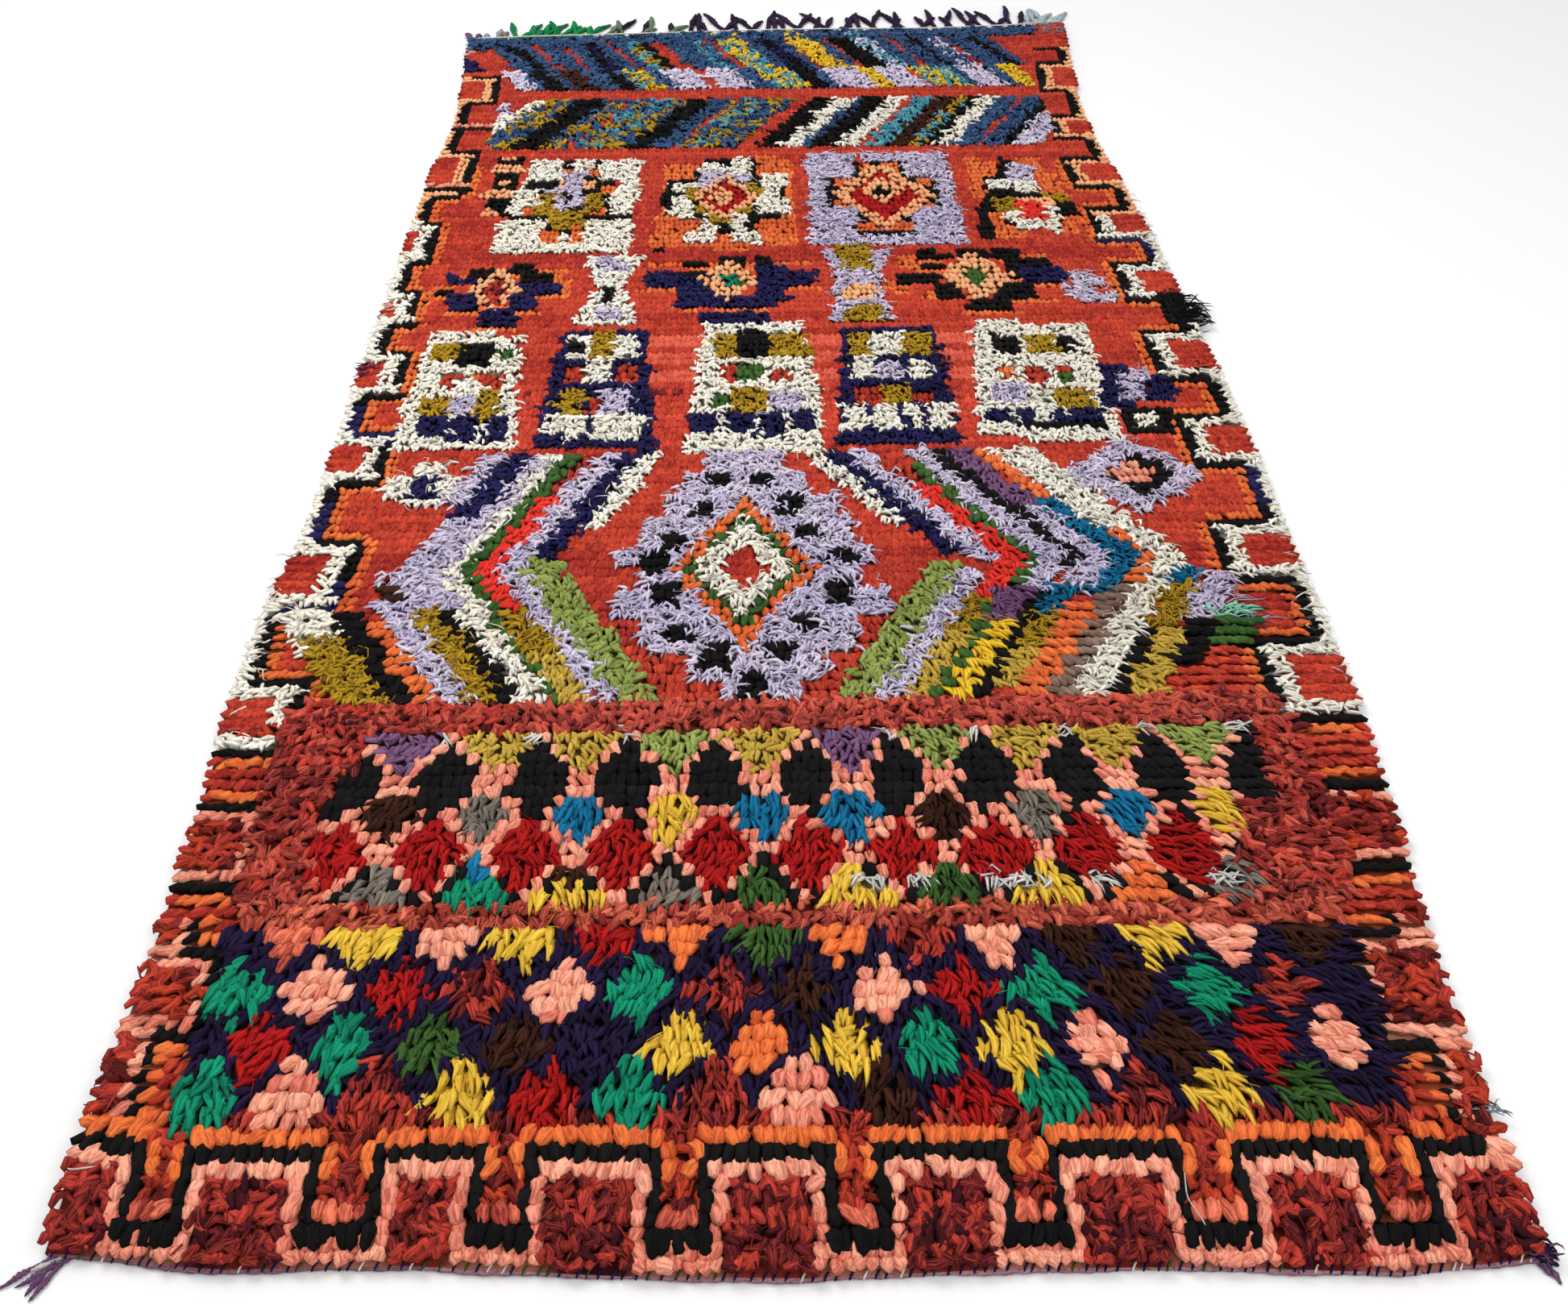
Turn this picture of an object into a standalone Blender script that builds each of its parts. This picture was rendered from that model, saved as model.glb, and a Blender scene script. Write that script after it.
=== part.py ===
"""Moroccan knotted-pile rug, lying flat with its long pile towards -Y and its fringe at +Y.

Metres, +Z up. The origin is on the floor under the middle of the cloth. The pile is one lumpy slab:
thick shag near the -Y end, a low clipped field, and motifs in heavier yarn that stand proud of it.
Locks stick out round its rim. A mauve heading cord is sewn along the near end, and a narrow cream
heading holds the knotted fringe at the far end.
"""

import math
import random

import bmesh
import bpy
from mathutils import Vector, noise

# The cloth, whose edges are as uneven as the weaver left them.
HALF_WIDTH = 0.76
# Columns: place along the rug, left edge, right edge.
SIDE_EDGES = (
    (-1.55, -0.772, 0.748),
    (-1.40, -0.775, 0.750),
    (-1.20, -0.768, 0.755),
    (-1.00, -0.768, 0.772),
    (-0.80, -0.776, 0.787),
    (-0.60, -0.772, 0.785),
    (-0.40, -0.752, 0.782),
    (-0.20, -0.748, 0.785),
    (0.00, -0.750, 0.780),
    (0.20, -0.744, 0.770),
    (0.40, -0.744, 0.760),
    (0.60, -0.744, 0.748),
    (0.80, -0.740, 0.732),
    (1.00, -0.725, 0.710),
    (1.20, -0.730, 0.706),
    (1.40, -0.748, 0.722),
    (1.65, -0.754, 0.738),
)
# Columns: place across the rug, near edge, far edge.
END_EDGES = (
    (-0.76, -1.530, 1.492),
    (-0.60, -1.548, 1.514),
    (-0.40, -1.546, 1.533),
    (-0.20, -1.558, 1.553),
    (0.00, -1.562, 1.574),
    (0.20, -1.554, 1.586),
    (0.40, -1.554, 1.596),
    (0.60, -1.562, 1.622),
    (0.76, -1.546, 1.658),
)
ROW_SLOPE = 0.021        # how much faster the right side was woven, for each metre along
LEVEL_ROW = -1.20        # the last row that runs straight across

# The pile's height over the floor, in zones along the rug.
SHAG_HEIGHT = 0.026
SHAG_END = -0.80
BORDER_HEIGHT = 0.014
BORDER_WIDTH = 0.13
FIELD_HEIGHT = 0.010
ZONE_BLEND = 0.05
RIM_SHARE = 0.62         # the pile thins out to this share at the rim
RIM_WIDTH = 0.045
LUMP_SHARE = 0.17        # how uneven the low pile is, as a share of its height
SHAG_LUMP_SHARE = 0.30   # and how uneven the shag is
LUMP_SHIFT = 0.28        # how far a lump lies off its row, as a share of the mesh's step
SWELL = 0.0025           # long soft undulations
SWELLS_PER_METRE = 2.1

# Motifs in heavier yarn. Columns: centre across, centre along, half width, half length,
# rise over the field, and the outline's power: 1 is a lozenge, 6 is nearly a rectangle.
# The rise dies away as the outline's own measure goes from 1 to MOTIF_EDGE.
MOTIF_EDGE = 1.25
MOTIF_STEEPNESS = 3.0
RAISED = (
    (-0.075, -0.490, 0.200, 0.310, 0.009, 1.2),    # stepped medallion
    (-0.420, -0.490, 0.210, 0.300, 0.009, 4.0),    # nested chevrons, left
    (0.400, -0.480, 0.250, 0.300, 0.009, 4.0),     # nested chevrons, right
    (-0.545, -0.010, 0.085, 0.175, 0.006, 6.0),    # five ladder boxes
    (-0.315, 0.005, 0.080, 0.180, 0.006, 6.0),
    (-0.060, 0.015, 0.100, 0.180, 0.006, 6.0),
    (0.185, 0.020, 0.090, 0.170, 0.006, 6.0),
    (0.450, 0.025, 0.105, 0.170, 0.006, 6.0),
    (-0.335, 0.330, 0.045, 0.115, 0.005, 3.0),     # two hourglasses
    (0.145, 0.355, 0.050, 0.135, 0.005, 3.0),
    (-0.430, 0.665, 0.125, 0.200, 0.005, 6.0),     # four star squares
    (-0.110, 0.680, 0.140, 0.190, 0.005, 6.0),
    (0.215, 0.700, 0.150, 0.195, 0.006, 6.0),
    (0.490, 0.700, 0.095, 0.165, 0.004, 6.0),
    (0.000, 1.050, 0.640, 0.130, 0.007, 6.0),      # two bands of slanting stripes
    (0.000, 1.410, 0.680, 0.150, 0.008, 6.0),
)

# The slab's mesh, and the locks round its rim.
COLUMNS = 36
ROWS = 76
LEDGE = 0.0045           # the locks start this far over the floor, clear of the headings
LOCK_LENGTH = (0.012, 0.026)
END_LOCK_LENGTH = (0.004, 0.008)
LOCK_TIP_SHARE = 0.22
LOCK_TURN = math.radians(22)
LOCK_TIP_HEIGHT = 0.003

# The headings and what hangs on them.
PIECE_GAP = 0.0006
HEADING_STEPS = 36
CLOSEST_LINES = 0.010
HEADING_THICKNESS = 0.003
HEADING_INSET = 0.004    # a heading stops this far short of the rug's corners
FAR_HEADING_WIDTH = 0.010
NEAR_HEADING_WIDTH = 0.009
ROOT_WIDTH = 0.0085
STRAND_WIDTH = 0.0072
KNOT_WIDTH = 0.0115
TIP_SHARE = 0.35         # a strand's tip is this share of its width
FLATNESS = 0.7           # a strand's height as a share of its width
STRAND_STEPS = 5
KNOT_STEP = 3
# Fringe at the far end. Columns: first and last place across, strands, length, lean in degrees.
FRINGE = (
    (-0.742, -0.742, 1, 0.060, -12.0),     # mauve
    (-0.712, -0.686, 2, 0.075, 6.0),       # grey
    (-0.650, -0.480, 7, 0.078, 10.0),      # green
    (-0.428, -0.270, 5, 0.085, 16.0),      # grey green
    (-0.210, 0.625, 24, 0.112, -4.0),      # aubergine
    (0.660, 0.722, 3, 0.090, 14.0),        # pale blue
)
FRINGE_SWING = 11.0      # degrees by which neighbouring strands lean apart
FRINGE_CURL = 7.0        # degrees by which a strand bends at each step
FRINGE_UNEVENNESS = 0.16
# Radians from one strand to the next in the waves that vary the lean, and the length and curl.
LEAN_BEAT = 2.4
LENGTH_BEAT = 1.7
STEP_BEAT = 1.9          # and from one step of a strand to the next in its curl
# Ends of the near heading's cord. Columns: first and last place across, strands, length, lean.
CORNER_TASSELS = (
    (-0.760, -0.728, 3, 0.070, 38.0),
    (0.712, 0.742, 3, 0.045, -40.0),
)

# Looks of the plain solids.
PILE_RED = (0.36, 0.06, 0.035, 1.0)
HEADING_CREAM = (0.62, 0.54, 0.42, 1.0)
HEADING_MAUVE = (0.16, 0.07, 0.15, 1.0)
SEED = 7


def along(table, place, column):
    """The table's value at a place between its rows, on a smooth curve."""
    rows = [table[0], *table, table[-1]]
    for k in range(1, len(rows) - 2):
        if place <= rows[k + 1][0] or k == len(rows) - 3:
            break
    a, b, c, d = (rows[k + i][column] for i in (-1, 0, 1, 2))
    span = rows[k + 1][0] - rows[k][0]
    f = min(1.0, max(0.0, (place - rows[k][0]) / span))
    bend = (2 * a - 5 * b + 4 * c - d) * f**2 + (3 * b - a - 3 * c + d) * f**3
    return b + 0.5 * ((c - a) * f + bend)


def cloth_point(across, share):
    """A point of the cloth: across goes from -1 to 1, and share from 0 at the near end to 1 at the far."""
    x = HALF_WIDTH * across
    for _ in range(3):
        y = (1 - share) * along(END_EDGES, x, 1) + share * along(END_EDGES, x, 2)
        left = along(SIDE_EDGES, y, 1)
        right = along(SIDE_EDGES, y, 2)
        x = left + (right - left) * (across + 1) / 2
    return x, y


def smooth_step(value):
    value = min(1.0, max(0.0, value))
    return value * value * (3 - 2 * value)


def pile_height(x, y, rim_distance):
    """Height of the pile's top at a point of the cloth."""
    row = y - ROW_SLOPE * max(0.0, y - LEVEL_ROW) * x
    shag = smooth_step((SHAG_END - row) / ZONE_BLEND)
    border = smooth_step((BORDER_WIDTH - rim_distance) / ZONE_BLEND)
    low = FIELD_HEIGHT + (BORDER_HEIGHT - FIELD_HEIGHT) * border
    for centre_x, centre_y, half_x, half_y, rise, power in RAISED:
        reach = (abs(x - centre_x) / half_x) ** power + (abs(row - centre_y) / half_y) ** power
        if reach < MOTIF_EDGE:
            low += rise * smooth_step(MOTIF_STEEPNESS * (MOTIF_EDGE - reach))
    height = low + (SHAG_HEIGHT - low) * shag
    return height * (RIM_SHARE + (1 - RIM_SHARE) * smooth_step(rim_distance / RIM_WIDTH))


def close_below(bm, levels):
    """Drops walls from the open edge of a surface to each level in turn, and closes it flat below."""
    edges = [e for e in bm.edges if e.is_boundary]
    bands = []
    for level in levels:
        made = bmesh.ops.extrude_edge_only(bm, edges=edges)["geom"]
        edges = [g for g in made if isinstance(g, bmesh.types.BMEdge) and g.is_boundary]
        bands.append([g for g in made if isinstance(g, bmesh.types.BMFace)])
        for vert in {v for e in edges for v in e.verts}:
            vert.co.z = level
    bmesh.ops.contextual_create(bm, geom=edges)
    bmesh.ops.recalc_face_normals(bm, faces=bm.faces)
    return bands


def grow(bm, face, sections):
    """Draws a strand out of a wall face. Each section is a centre, a heading, a width and a height."""
    for centre, heading, width, height in sections:
        old = face.calc_center_median()
        side = Vector((-heading.y, heading.x, 0.0))
        upper = {v.index: v.co.z > old.z for v in face.verts}
        left = {v.index: (v.co - old).dot(side) > 0 for v in face.verts}
        order = [(upper[v.index], left[v.index]) for v in face.verts]
        face = bmesh.ops.extrude_discrete_faces(bm, faces=[face])["faces"][0]
        for vert, (is_upper, is_left) in zip(face.verts, order):
            vert.co = centre + side * width * (0.5 if is_left else -0.5)
            vert.co.z += height * (0.5 if is_upper else -0.5)
        bm.verts.index_update()


def finished(name, bm, colour, collection):
    mesh = bpy.data.meshes.new(name)
    bm.to_mesh(mesh)
    bm.free()
    material = bpy.data.materials.new(name + "_yarn")
    material.use_nodes = True
    shader = material.node_tree.nodes["Principled BSDF"]
    shader.inputs["Base Color"].default_value = colour
    shader.inputs["Roughness"].default_value = 0.95
    shader.inputs["Metallic"].default_value = 0.0
    mesh.materials.append(material)
    thing = bpy.data.objects.new(name, mesh)
    collection.objects.link(thing)
    return thing


def rug_body(collection):
    """Cloth and pile in one slab, with a lock drawn out of every second stretch of its rim."""
    chance = random.Random(SEED)
    bm = bmesh.new()
    bmesh.ops.create_grid(bm, x_segments=COLUMNS, y_segments=ROWS, size=1.0)
    bmesh.ops.subdivide_edges(bm, edges=[e for e in bm.edges if e.is_boundary], cuts=1)
    for vert in bm.verts:
        if not vert.is_boundary:
            vert.co.x += LUMP_SHIFT * chance.uniform(-2, 2) / COLUMNS
            vert.co.y += LUMP_SHIFT * chance.uniform(-2, 2) / ROWS
        x, y = cloth_point(vert.co.x, (vert.co.y + 1) / 2)
        left = along(SIDE_EDGES, y, 1)
        right = along(SIDE_EDGES, y, 2)
        near = along(END_EDGES, x, 1)
        far = along(END_EDGES, x, 2)
        rim_distance = max(0.0, min(x - left, right - x, y - near, far - y))
        height = pile_height(x, y, rim_distance)
        unevenness = SHAG_LUMP_SHARE if y < SHAG_END else LUMP_SHARE
        height *= 1 + unevenness * chance.uniform(-1, 1)
        height += SWELL * noise.noise(Vector((x, y, 0.0)) * SWELLS_PER_METRE)
        vert.co = (x, y, height)
    upper_band, _ = close_below(bm, (LEDGE, 0.0))
    bm.verts.index_update()
    for face in lock_faces(upper_band):
        out = face.normal.copy()
        out.z = 0
        out.normalize()
        at_end = abs(out.y) > abs(out.x)
        shortest, longest = END_LOCK_LENGTH if at_end else LOCK_LENGTH
        turned = Vector(out)
        turn = chance.uniform(-LOCK_TURN, LOCK_TURN)
        turned.x = out.x * math.cos(turn) - out.y * math.sin(turn)
        turned.y = out.x * math.sin(turn) + out.y * math.cos(turn)
        root = face.calc_center_median()
        tip = root + turned * chance.uniform(shortest, longest)
        tip.z = LEDGE + LOCK_TIP_HEIGHT / 2 if at_end else LOCK_TIP_HEIGHT
        width = max((a.co - b.co).to_2d().length for a in face.verts for b in face.verts)
        grow(bm, face, [(tip, turned, width * LOCK_TIP_SHARE, LOCK_TIP_HEIGHT)])
    return finished("rug_body", bm, PILE_RED, collection)


def lock_faces(band):
    """Every second wall face, so that the locks stand apart."""
    ordered = sorted(band, key=lambda f: math.atan2(f.calc_center_median().y / 2, f.calc_center_median().x))
    return ordered[::2]


def strand_list(table):
    """Place across, length, lean and curl of each strand of a table, worked out from its groups."""
    strands = []
    for first, last, count, length, lean in table:
        for k in range(count):
            place = first + (last - first) * k / max(1, count - 1)
            swing = math.sin(LEAN_BEAT * len(strands))
            stretch = math.cos(LENGTH_BEAT * len(strands))
            own_length = length * (1 + FRINGE_UNEVENNESS * stretch)
            strands.append((place, own_length, lean + FRINGE_SWING * swing, FRINGE_CURL * stretch))
    return strands


def heading(name, edge_column, outward, width, strands, colour, collection):
    """A narrow woven strip along one end of the cloth, with strands of yarn drawn out of its free side."""
    beyond_end = outward * 2
    first = along(SIDE_EDGES, beyond_end, 1) + HEADING_INSET
    last = along(SIDE_EDGES, beyond_end, 2) - HEADING_INSET
    lines = [first, last]
    for place, *_ in strands:
        lines += [place - ROOT_WIDTH / 2, place + ROOT_WIDTH / 2]
    for k in range(1, HEADING_STEPS):
        spot = first + (last - first) * k / HEADING_STEPS
        if all(abs(spot - line) > CLOSEST_LINES for line in lines):
            lines.append(spot)
    lines.sort()
    bm = bmesh.new()
    bmesh.ops.create_grid(bm, x_segments=len(lines) - 1, y_segments=1, size=1.0)
    for vert in bm.verts:
        x = lines[round((vert.co.x + 1) / 2 * (len(lines) - 1))]
        inner = along(END_EDGES, x, edge_column) + outward * PIECE_GAP
        free = (vert.co.y > 0) == (outward > 0)
        vert.co = (x, inner + outward * width * free, HEADING_THICKNESS)
    (wall,) = close_below(bm, (0.0,))
    bm.verts.index_update()
    free_side = [f for f in wall if f.normal.y * outward > 0.5]
    roots = [min(free_side, key=lambda f: abs(f.calc_center_median().x - strand[0])) for strand in strands]
    for root, (_, length, lean, curl) in zip(roots, strands):
        grow(bm, root, strand_sections(root.calc_center_median(), outward, length, lean, curl))
    return finished(name, bm, colour, collection)


def strand_sections(root, outward, length, lean, curl):
    """Sections of one strand that lies on the floor, thickest at its knot and pointed at its tip."""
    sections = []
    point = root.copy()
    angle = math.radians(lean)
    for k in range(1, STRAND_STEPS + 1):
        angle += math.radians(curl) * math.cos(STEP_BEAT * k)
        towards = Vector((math.sin(angle), outward * math.cos(angle), 0.0))
        point = point + towards * length / STRAND_STEPS
        width = KNOT_WIDTH if k == KNOT_STEP else STRAND_WIDTH
        if k == STRAND_STEPS:
            width *= TIP_SHARE
        height = width * FLATNESS
        sections.append((Vector((point.x, point.y, height / 2)), towards, width, height))
    return sections


def main():
    for thing in list(bpy.data.objects):
        bpy.data.objects.remove(thing)
    collection = bpy.data.collections.new("moroccan_rug")
    bpy.context.scene.collection.children.link(collection)
    rug_body(collection)
    tassels = strand_list(CORNER_TASSELS)
    heading("near_heading", 1, -1, NEAR_HEADING_WIDTH, tassels, HEADING_MAUVE, collection)
    fringe = strand_list(FRINGE)
    heading("far_fringe", 2, 1, FAR_HEADING_WIDTH, fringe, HEADING_CREAM, collection)


main()
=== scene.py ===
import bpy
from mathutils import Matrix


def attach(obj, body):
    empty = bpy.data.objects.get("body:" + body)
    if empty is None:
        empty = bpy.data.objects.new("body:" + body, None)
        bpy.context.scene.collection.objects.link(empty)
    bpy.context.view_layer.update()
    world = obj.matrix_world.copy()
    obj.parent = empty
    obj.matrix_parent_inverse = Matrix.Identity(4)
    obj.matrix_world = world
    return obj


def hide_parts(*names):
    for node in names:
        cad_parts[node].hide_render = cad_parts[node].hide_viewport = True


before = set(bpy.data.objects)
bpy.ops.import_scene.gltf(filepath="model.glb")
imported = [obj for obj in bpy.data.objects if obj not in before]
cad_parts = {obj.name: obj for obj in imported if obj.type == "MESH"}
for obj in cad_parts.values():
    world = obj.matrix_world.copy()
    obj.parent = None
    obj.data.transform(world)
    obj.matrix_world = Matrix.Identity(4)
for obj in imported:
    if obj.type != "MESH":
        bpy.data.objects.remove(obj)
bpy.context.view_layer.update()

import math
from collections import namedtuple

import bpy
import numpy as np
from mathutils import Matrix

# The rug lies on a pale studio floor under a big soft light, with a weaker one to fill the shadows, and is
# seen from standing height at its near end, looking down its length.
CAMERA_PLACE = (-0.0678, -2.1818, 1.4849)
CAMERA_PITCH = math.radians(44.249)
CAMERA_YAW = math.radians(2.001)
CAMERA_ROLL = math.radians(1.479)
LENS_MM = 33.85
FLOOR_HALF, FLOOR_HEIGHT = 9.0, -0.0006


def link(thing):
    bpy.context.scene.collection.objects.link(thing)
    return thing


def add_camera():
    forward = np.array((
        math.sin(CAMERA_YAW) * math.cos(CAMERA_PITCH),
        math.cos(CAMERA_YAW) * math.cos(CAMERA_PITCH),
        -math.sin(CAMERA_PITCH),
    ))
    level = np.array((math.cos(CAMERA_YAW), -math.sin(CAMERA_YAW), 0.0))
    above = np.cross(level, forward)
    right = level * math.cos(CAMERA_ROLL) + above * math.sin(CAMERA_ROLL)
    up = above * math.cos(CAMERA_ROLL) - level * math.sin(CAMERA_ROLL)
    camera = link(bpy.data.objects.new("camera", bpy.data.cameras.new("camera")))
    camera.data.sensor_width = 36.0
    camera.data.lens = LENS_MM
    rows = [[right[k], up[k], -forward[k], CAMERA_PLACE[k]] for k in range(3)]
    camera.matrix_world = Matrix(rows + [[0.0, 0.0, 0.0, 1.0]])
    bpy.context.scene.camera = camera


def add_softbox(name, place, aim, width, watts):
    lamp = bpy.data.lights.new(name, "AREA")
    lamp.shape = "DISK"
    lamp.size = width
    lamp.energy = watts
    softbox = link(bpy.data.objects.new(name, lamp))
    towards = np.array(aim) - np.array(place)
    back = -towards / np.linalg.norm(towards)
    side = np.cross((0.0, 1.0, 0.0), back)
    side /= np.linalg.norm(side)
    top = np.cross(back, side)
    rows = [[side[k], top[k], back[k], place[k]] for k in range(3)]
    softbox.matrix_world = Matrix(rows + [[0.0, 0.0, 0.0, 1.0]])


def floor_paint():
    paint = bpy.data.materials.new("floor_paint")
    paint.use_nodes = True
    nodes, wires = paint.node_tree.nodes, paint.node_tree.links
    shader = nodes["Principled BSDF"]
    shader.inputs["Roughness"].default_value = 0.9
    mottle = nodes.new("ShaderNodeTexNoise")
    mottle.inputs["Scale"].default_value = 0.7
    tone = nodes.new("ShaderNodeValToRGB")
    tone.color_ramp.elements[0].color = (0.80, 0.80, 0.80, 1.0)
    tone.color_ramp.elements[1].color = (0.85, 0.85, 0.85, 1.0)
    wires.new(mottle.outputs["Fac"], tone.inputs["Fac"])
    wires.new(tone.outputs["Color"], shader.inputs["Base Color"])
    return paint


add_camera()
add_softbox("key_softbox", (-1.6, 0.6, 3.4), (0.0, 0.0, 0.0), 2.2, 80.0)
add_softbox("fill_softbox", (2.2, -2.4, 3.0), (0.0, -0.2, 0.0), 2.6, 40.0)
world = bpy.data.worlds.new("studio")
world.use_nodes = True
world.node_tree.nodes["Background"].inputs["Color"].default_value = (1.0, 1.0, 1.0, 1.0)
world.node_tree.nodes["Background"].inputs["Strength"].default_value = 0.80
bpy.context.scene.world = world
bpy.context.scene.view_settings.view_transform = "Standard"
floor_mesh = bpy.data.meshes.new("floor")
corner_signs = ((-1, -1), (1, -1), (1, 1), (-1, 1))
floor_corners = [(x * FLOOR_HALF, y * FLOOR_HALF, FLOOR_HEIGHT) for x, y in corner_signs]
floor_mesh.from_pydata(floor_corners, [], [(0, 1, 2, 3)])
floor_mesh.materials.append(floor_paint())
link(bpy.data.objects.new("floor", floor_mesh))

# The loom. Wool is knotted on cotton warps row by row from the near end, so a knot's place is its row and
# its share of the width. The weaver beat the rows down unevenly: they climb to the right, most of all at
# the far end.
# Columns: place along the rug, left edge, right edge.
SIDE_EDGES = np.array((
    (-1.55, -0.772, 0.748), (-1.40, -0.775, 0.750), (-1.20, -0.768, 0.755), (-1.00, -0.768, 0.772),
    (-0.80, -0.776, 0.787), (-0.60, -0.772, 0.785), (-0.40, -0.752, 0.782), (-0.20, -0.748, 0.785),
    (0.00, -0.750, 0.780), (0.20, -0.744, 0.770), (0.40, -0.744, 0.760), (0.60, -0.744, 0.748),
    (0.80, -0.740, 0.732), (1.00, -0.725, 0.710), (1.20, -0.730, 0.706), (1.40, -0.748, 0.722),
    (1.65, -0.754, 0.738),
))
# Columns: place across the rug, near edge, far edge.
END_EDGES = np.array((
    (-0.76, -1.530, 1.492), (-0.60, -1.548, 1.514), (-0.40, -1.546, 1.533), (-0.20, -1.558, 1.553),
    (0.00, -1.562, 1.574), (0.20, -1.554, 1.586), (0.40, -1.554, 1.596), (0.60, -1.562, 1.622),
    (0.76, -1.546, 1.658),
))
# Columns: a row's place at the middle of the rug, and how much it climbs for each metre across.
ROW_CLIMB = np.array(((-1.20, 0.0), (-0.80, 0.020), (0.00, 0.035), (0.90, 0.043), (1.25, 0.050)))
LEVEL_END, CLIMBING_END = -1.40, 1.25
NEAR_MIDDLE, FAR_MIDDLE = -1.562, 1.574
ROWS = 165
SHAG_END = -0.80
SHAG_KNOTS, FINE_KNOTS = 116, 150
rng = np.random.default_rng(7)


def left_edge(y):
    return np.interp(y, SIDE_EDGES[:, 0], SIDE_EDGES[:, 1])


def right_edge(y):
    return np.interp(y, SIDE_EDGES[:, 0], SIDE_EDGES[:, 2])


def near_edge(x):
    return np.interp(x, END_EDGES[:, 0], END_EDGES[:, 1])


def far_edge(x):
    return np.interp(x, END_EDGES[:, 0], END_EDGES[:, 2])


def woven_place(share, row):
    """Where a knot lies: share runs from -1 at the left edge to 1 at the right, row is its place midway."""
    x = 0.76 * share
    for _ in range(3):
        y = row + np.interp(row, ROW_CLIMB[:, 0], ROW_CLIMB[:, 1]) * x
        far_blend = np.clip((row - CLIMBING_END) / (FAR_MIDDLE - CLIMBING_END), 0, 1)
        near_blend = np.clip((LEVEL_END - row) / (LEVEL_END - NEAR_MIDDLE), 0, 1)
        last_climbing = CLIMBING_END + ROW_CLIMB[-1, 1] * x
        y = np.where(far_blend > 0, (1 - far_blend) * last_climbing + far_blend * far_edge(x), y)
        y = np.where(near_blend > 0, (1 - near_blend) * LEVEL_END + near_blend * near_edge(x), y)
        x = left_edge(y) + (right_edge(y) - left_edge(y)) * (share + 1) / 2
    return x, y


row_pitch = (FAR_MIDDLE - NEAR_MIDDLE) / ROWS
knot_row, knot_column, knot_share = [], [], []
for row in range(ROWS):
    middle = NEAR_MIDDLE + (row + 0.5) * row_pitch
    knots = SHAG_KNOTS if middle < SHAG_END else FINE_KNOTS
    knot_row += [row] * knots
    knot_column += range(knots)
    knot_share += [(k + 0.5) / knots * 2 - 1 for k in range(knots)]
knot_row, knot_column, knot_share = (np.array(values) for values in (knot_row, knot_column, knot_share))
knot_v = NEAR_MIDDLE + (knot_row + 0.5) * row_pitch
knot_x, knot_y = woven_place(knot_share, knot_v)
# The rows of the near border are beaten closer together than the rest.
knot_y -= 0.010 * np.clip(knot_row / 6, 0, 1) * np.clip((12 - knot_row) / 4, 0, 1)
# Close to the left edge they climb again.
left_climb = 0.015 * np.clip((-0.66 - knot_x) / 0.09, 0, 1)
knot_y += left_climb * np.clip((knot_row - 2) / 4, 0, 1) * np.clip((15 - knot_row) / 5, 0, 1)
from_left = knot_x - left_edge(knot_y)
from_right = right_edge(knot_y) - knot_x
from_side = np.minimum(from_left, from_right)
# Where a knot counts on the chart. A weaver's count is a little off, so the motifs' edges come out ragged.
chart_x = knot_x + rng.uniform(-0.0035, 0.0035, len(knot_x))
yarn = np.full(len(knot_x), "red", dtype="U12")
tied = np.zeros(len(knot_x), dtype=bool)

# The near border is a row of arches in salmon, black and orange round heathered blocks of dark red. It is
# fat, softly spun wool, one thick lock to each knot, that lies towards the near end.
DYES = {
    "red": ((206, 74, 50), (144, 34, 32)),
    "salmon": ((252, 179, 149), (214, 107, 89)),
    "maroon": ((212, 71, 57), (62, 19, 27)),
    "rust": ((214, 74, 46), (92, 24, 26)),
    "coral": ((250, 130, 98), (146, 46, 40)),
    "orange": ((242, 128, 66), (206, 84, 44)),
    "black": ((26, 23, 23), (11, 10, 10)),
}
# The black uprights that stand on each side of the gaps between the arches.
UPRIGHTS = (
    (-0.698, -0.648), (-0.520, -0.452), (-0.342, -0.290), (-0.165, -0.110), (0.015, 0.075),
    (0.200, 0.258), (0.385, 0.455), (0.585, 0.648),
)
# A lock: its finish, strands to a knot, sides and rings of each strand, width, length, height of the pile,
# how far the knots and then the strands stray from the lie in degrees, how much they curl, how far they
# scatter, its profile from root to tip, and the share of the knots that shed a wisp.
Lock = namedtuple("Lock", "finish strands sides rings width length rise stray splay curl scatter ends wisps",
                  defaults=(0.0,))
FAT_WOOL = Lock("wool", 1, 6, 4, 0.0185, 0.033, 0.019, 13, 0, 16, 0.0024, (0.80, 1.0, 1.0, 0.78))
FELTED_WOOL = Lock("wool", 2, 4, 4, 0.0128, 0.035, 0.018, 24, 20, 55, 0.0060, (0.85, 1.0, 0.95, 0.66), 0.4)
FLAT_WOOL = Lock("wool", 1, 5, 3, 0.0200, 0.033, 0.017, 9, 0, 8, 0.001, (0.85, 1.0, 0.75))
# The black lines are narrow locks that stand proud, and the last rows are clipped shorter than the rest.
BAR_WOOL = FLAT_WOOL._replace(width=0.0160, length=0.036, rise=0.0212)
SHORN_WOOL = FAT_WOOL._replace(length=0.027, rise=0.0150)
# A lock's root lies this share of its length behind its knot, at this height.
ROOT_SHARE, ROOT_HEIGHT = 0.40, 0.0035
# A lock keeps this share of what reaches past the sides of the cloth, or past a line just inside its near
# end. The last number is how low a lock may lie.
EDGE_SPREAD, NEAR_INSET, LOWEST = 0.40, 0.006, 0.0004
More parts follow.
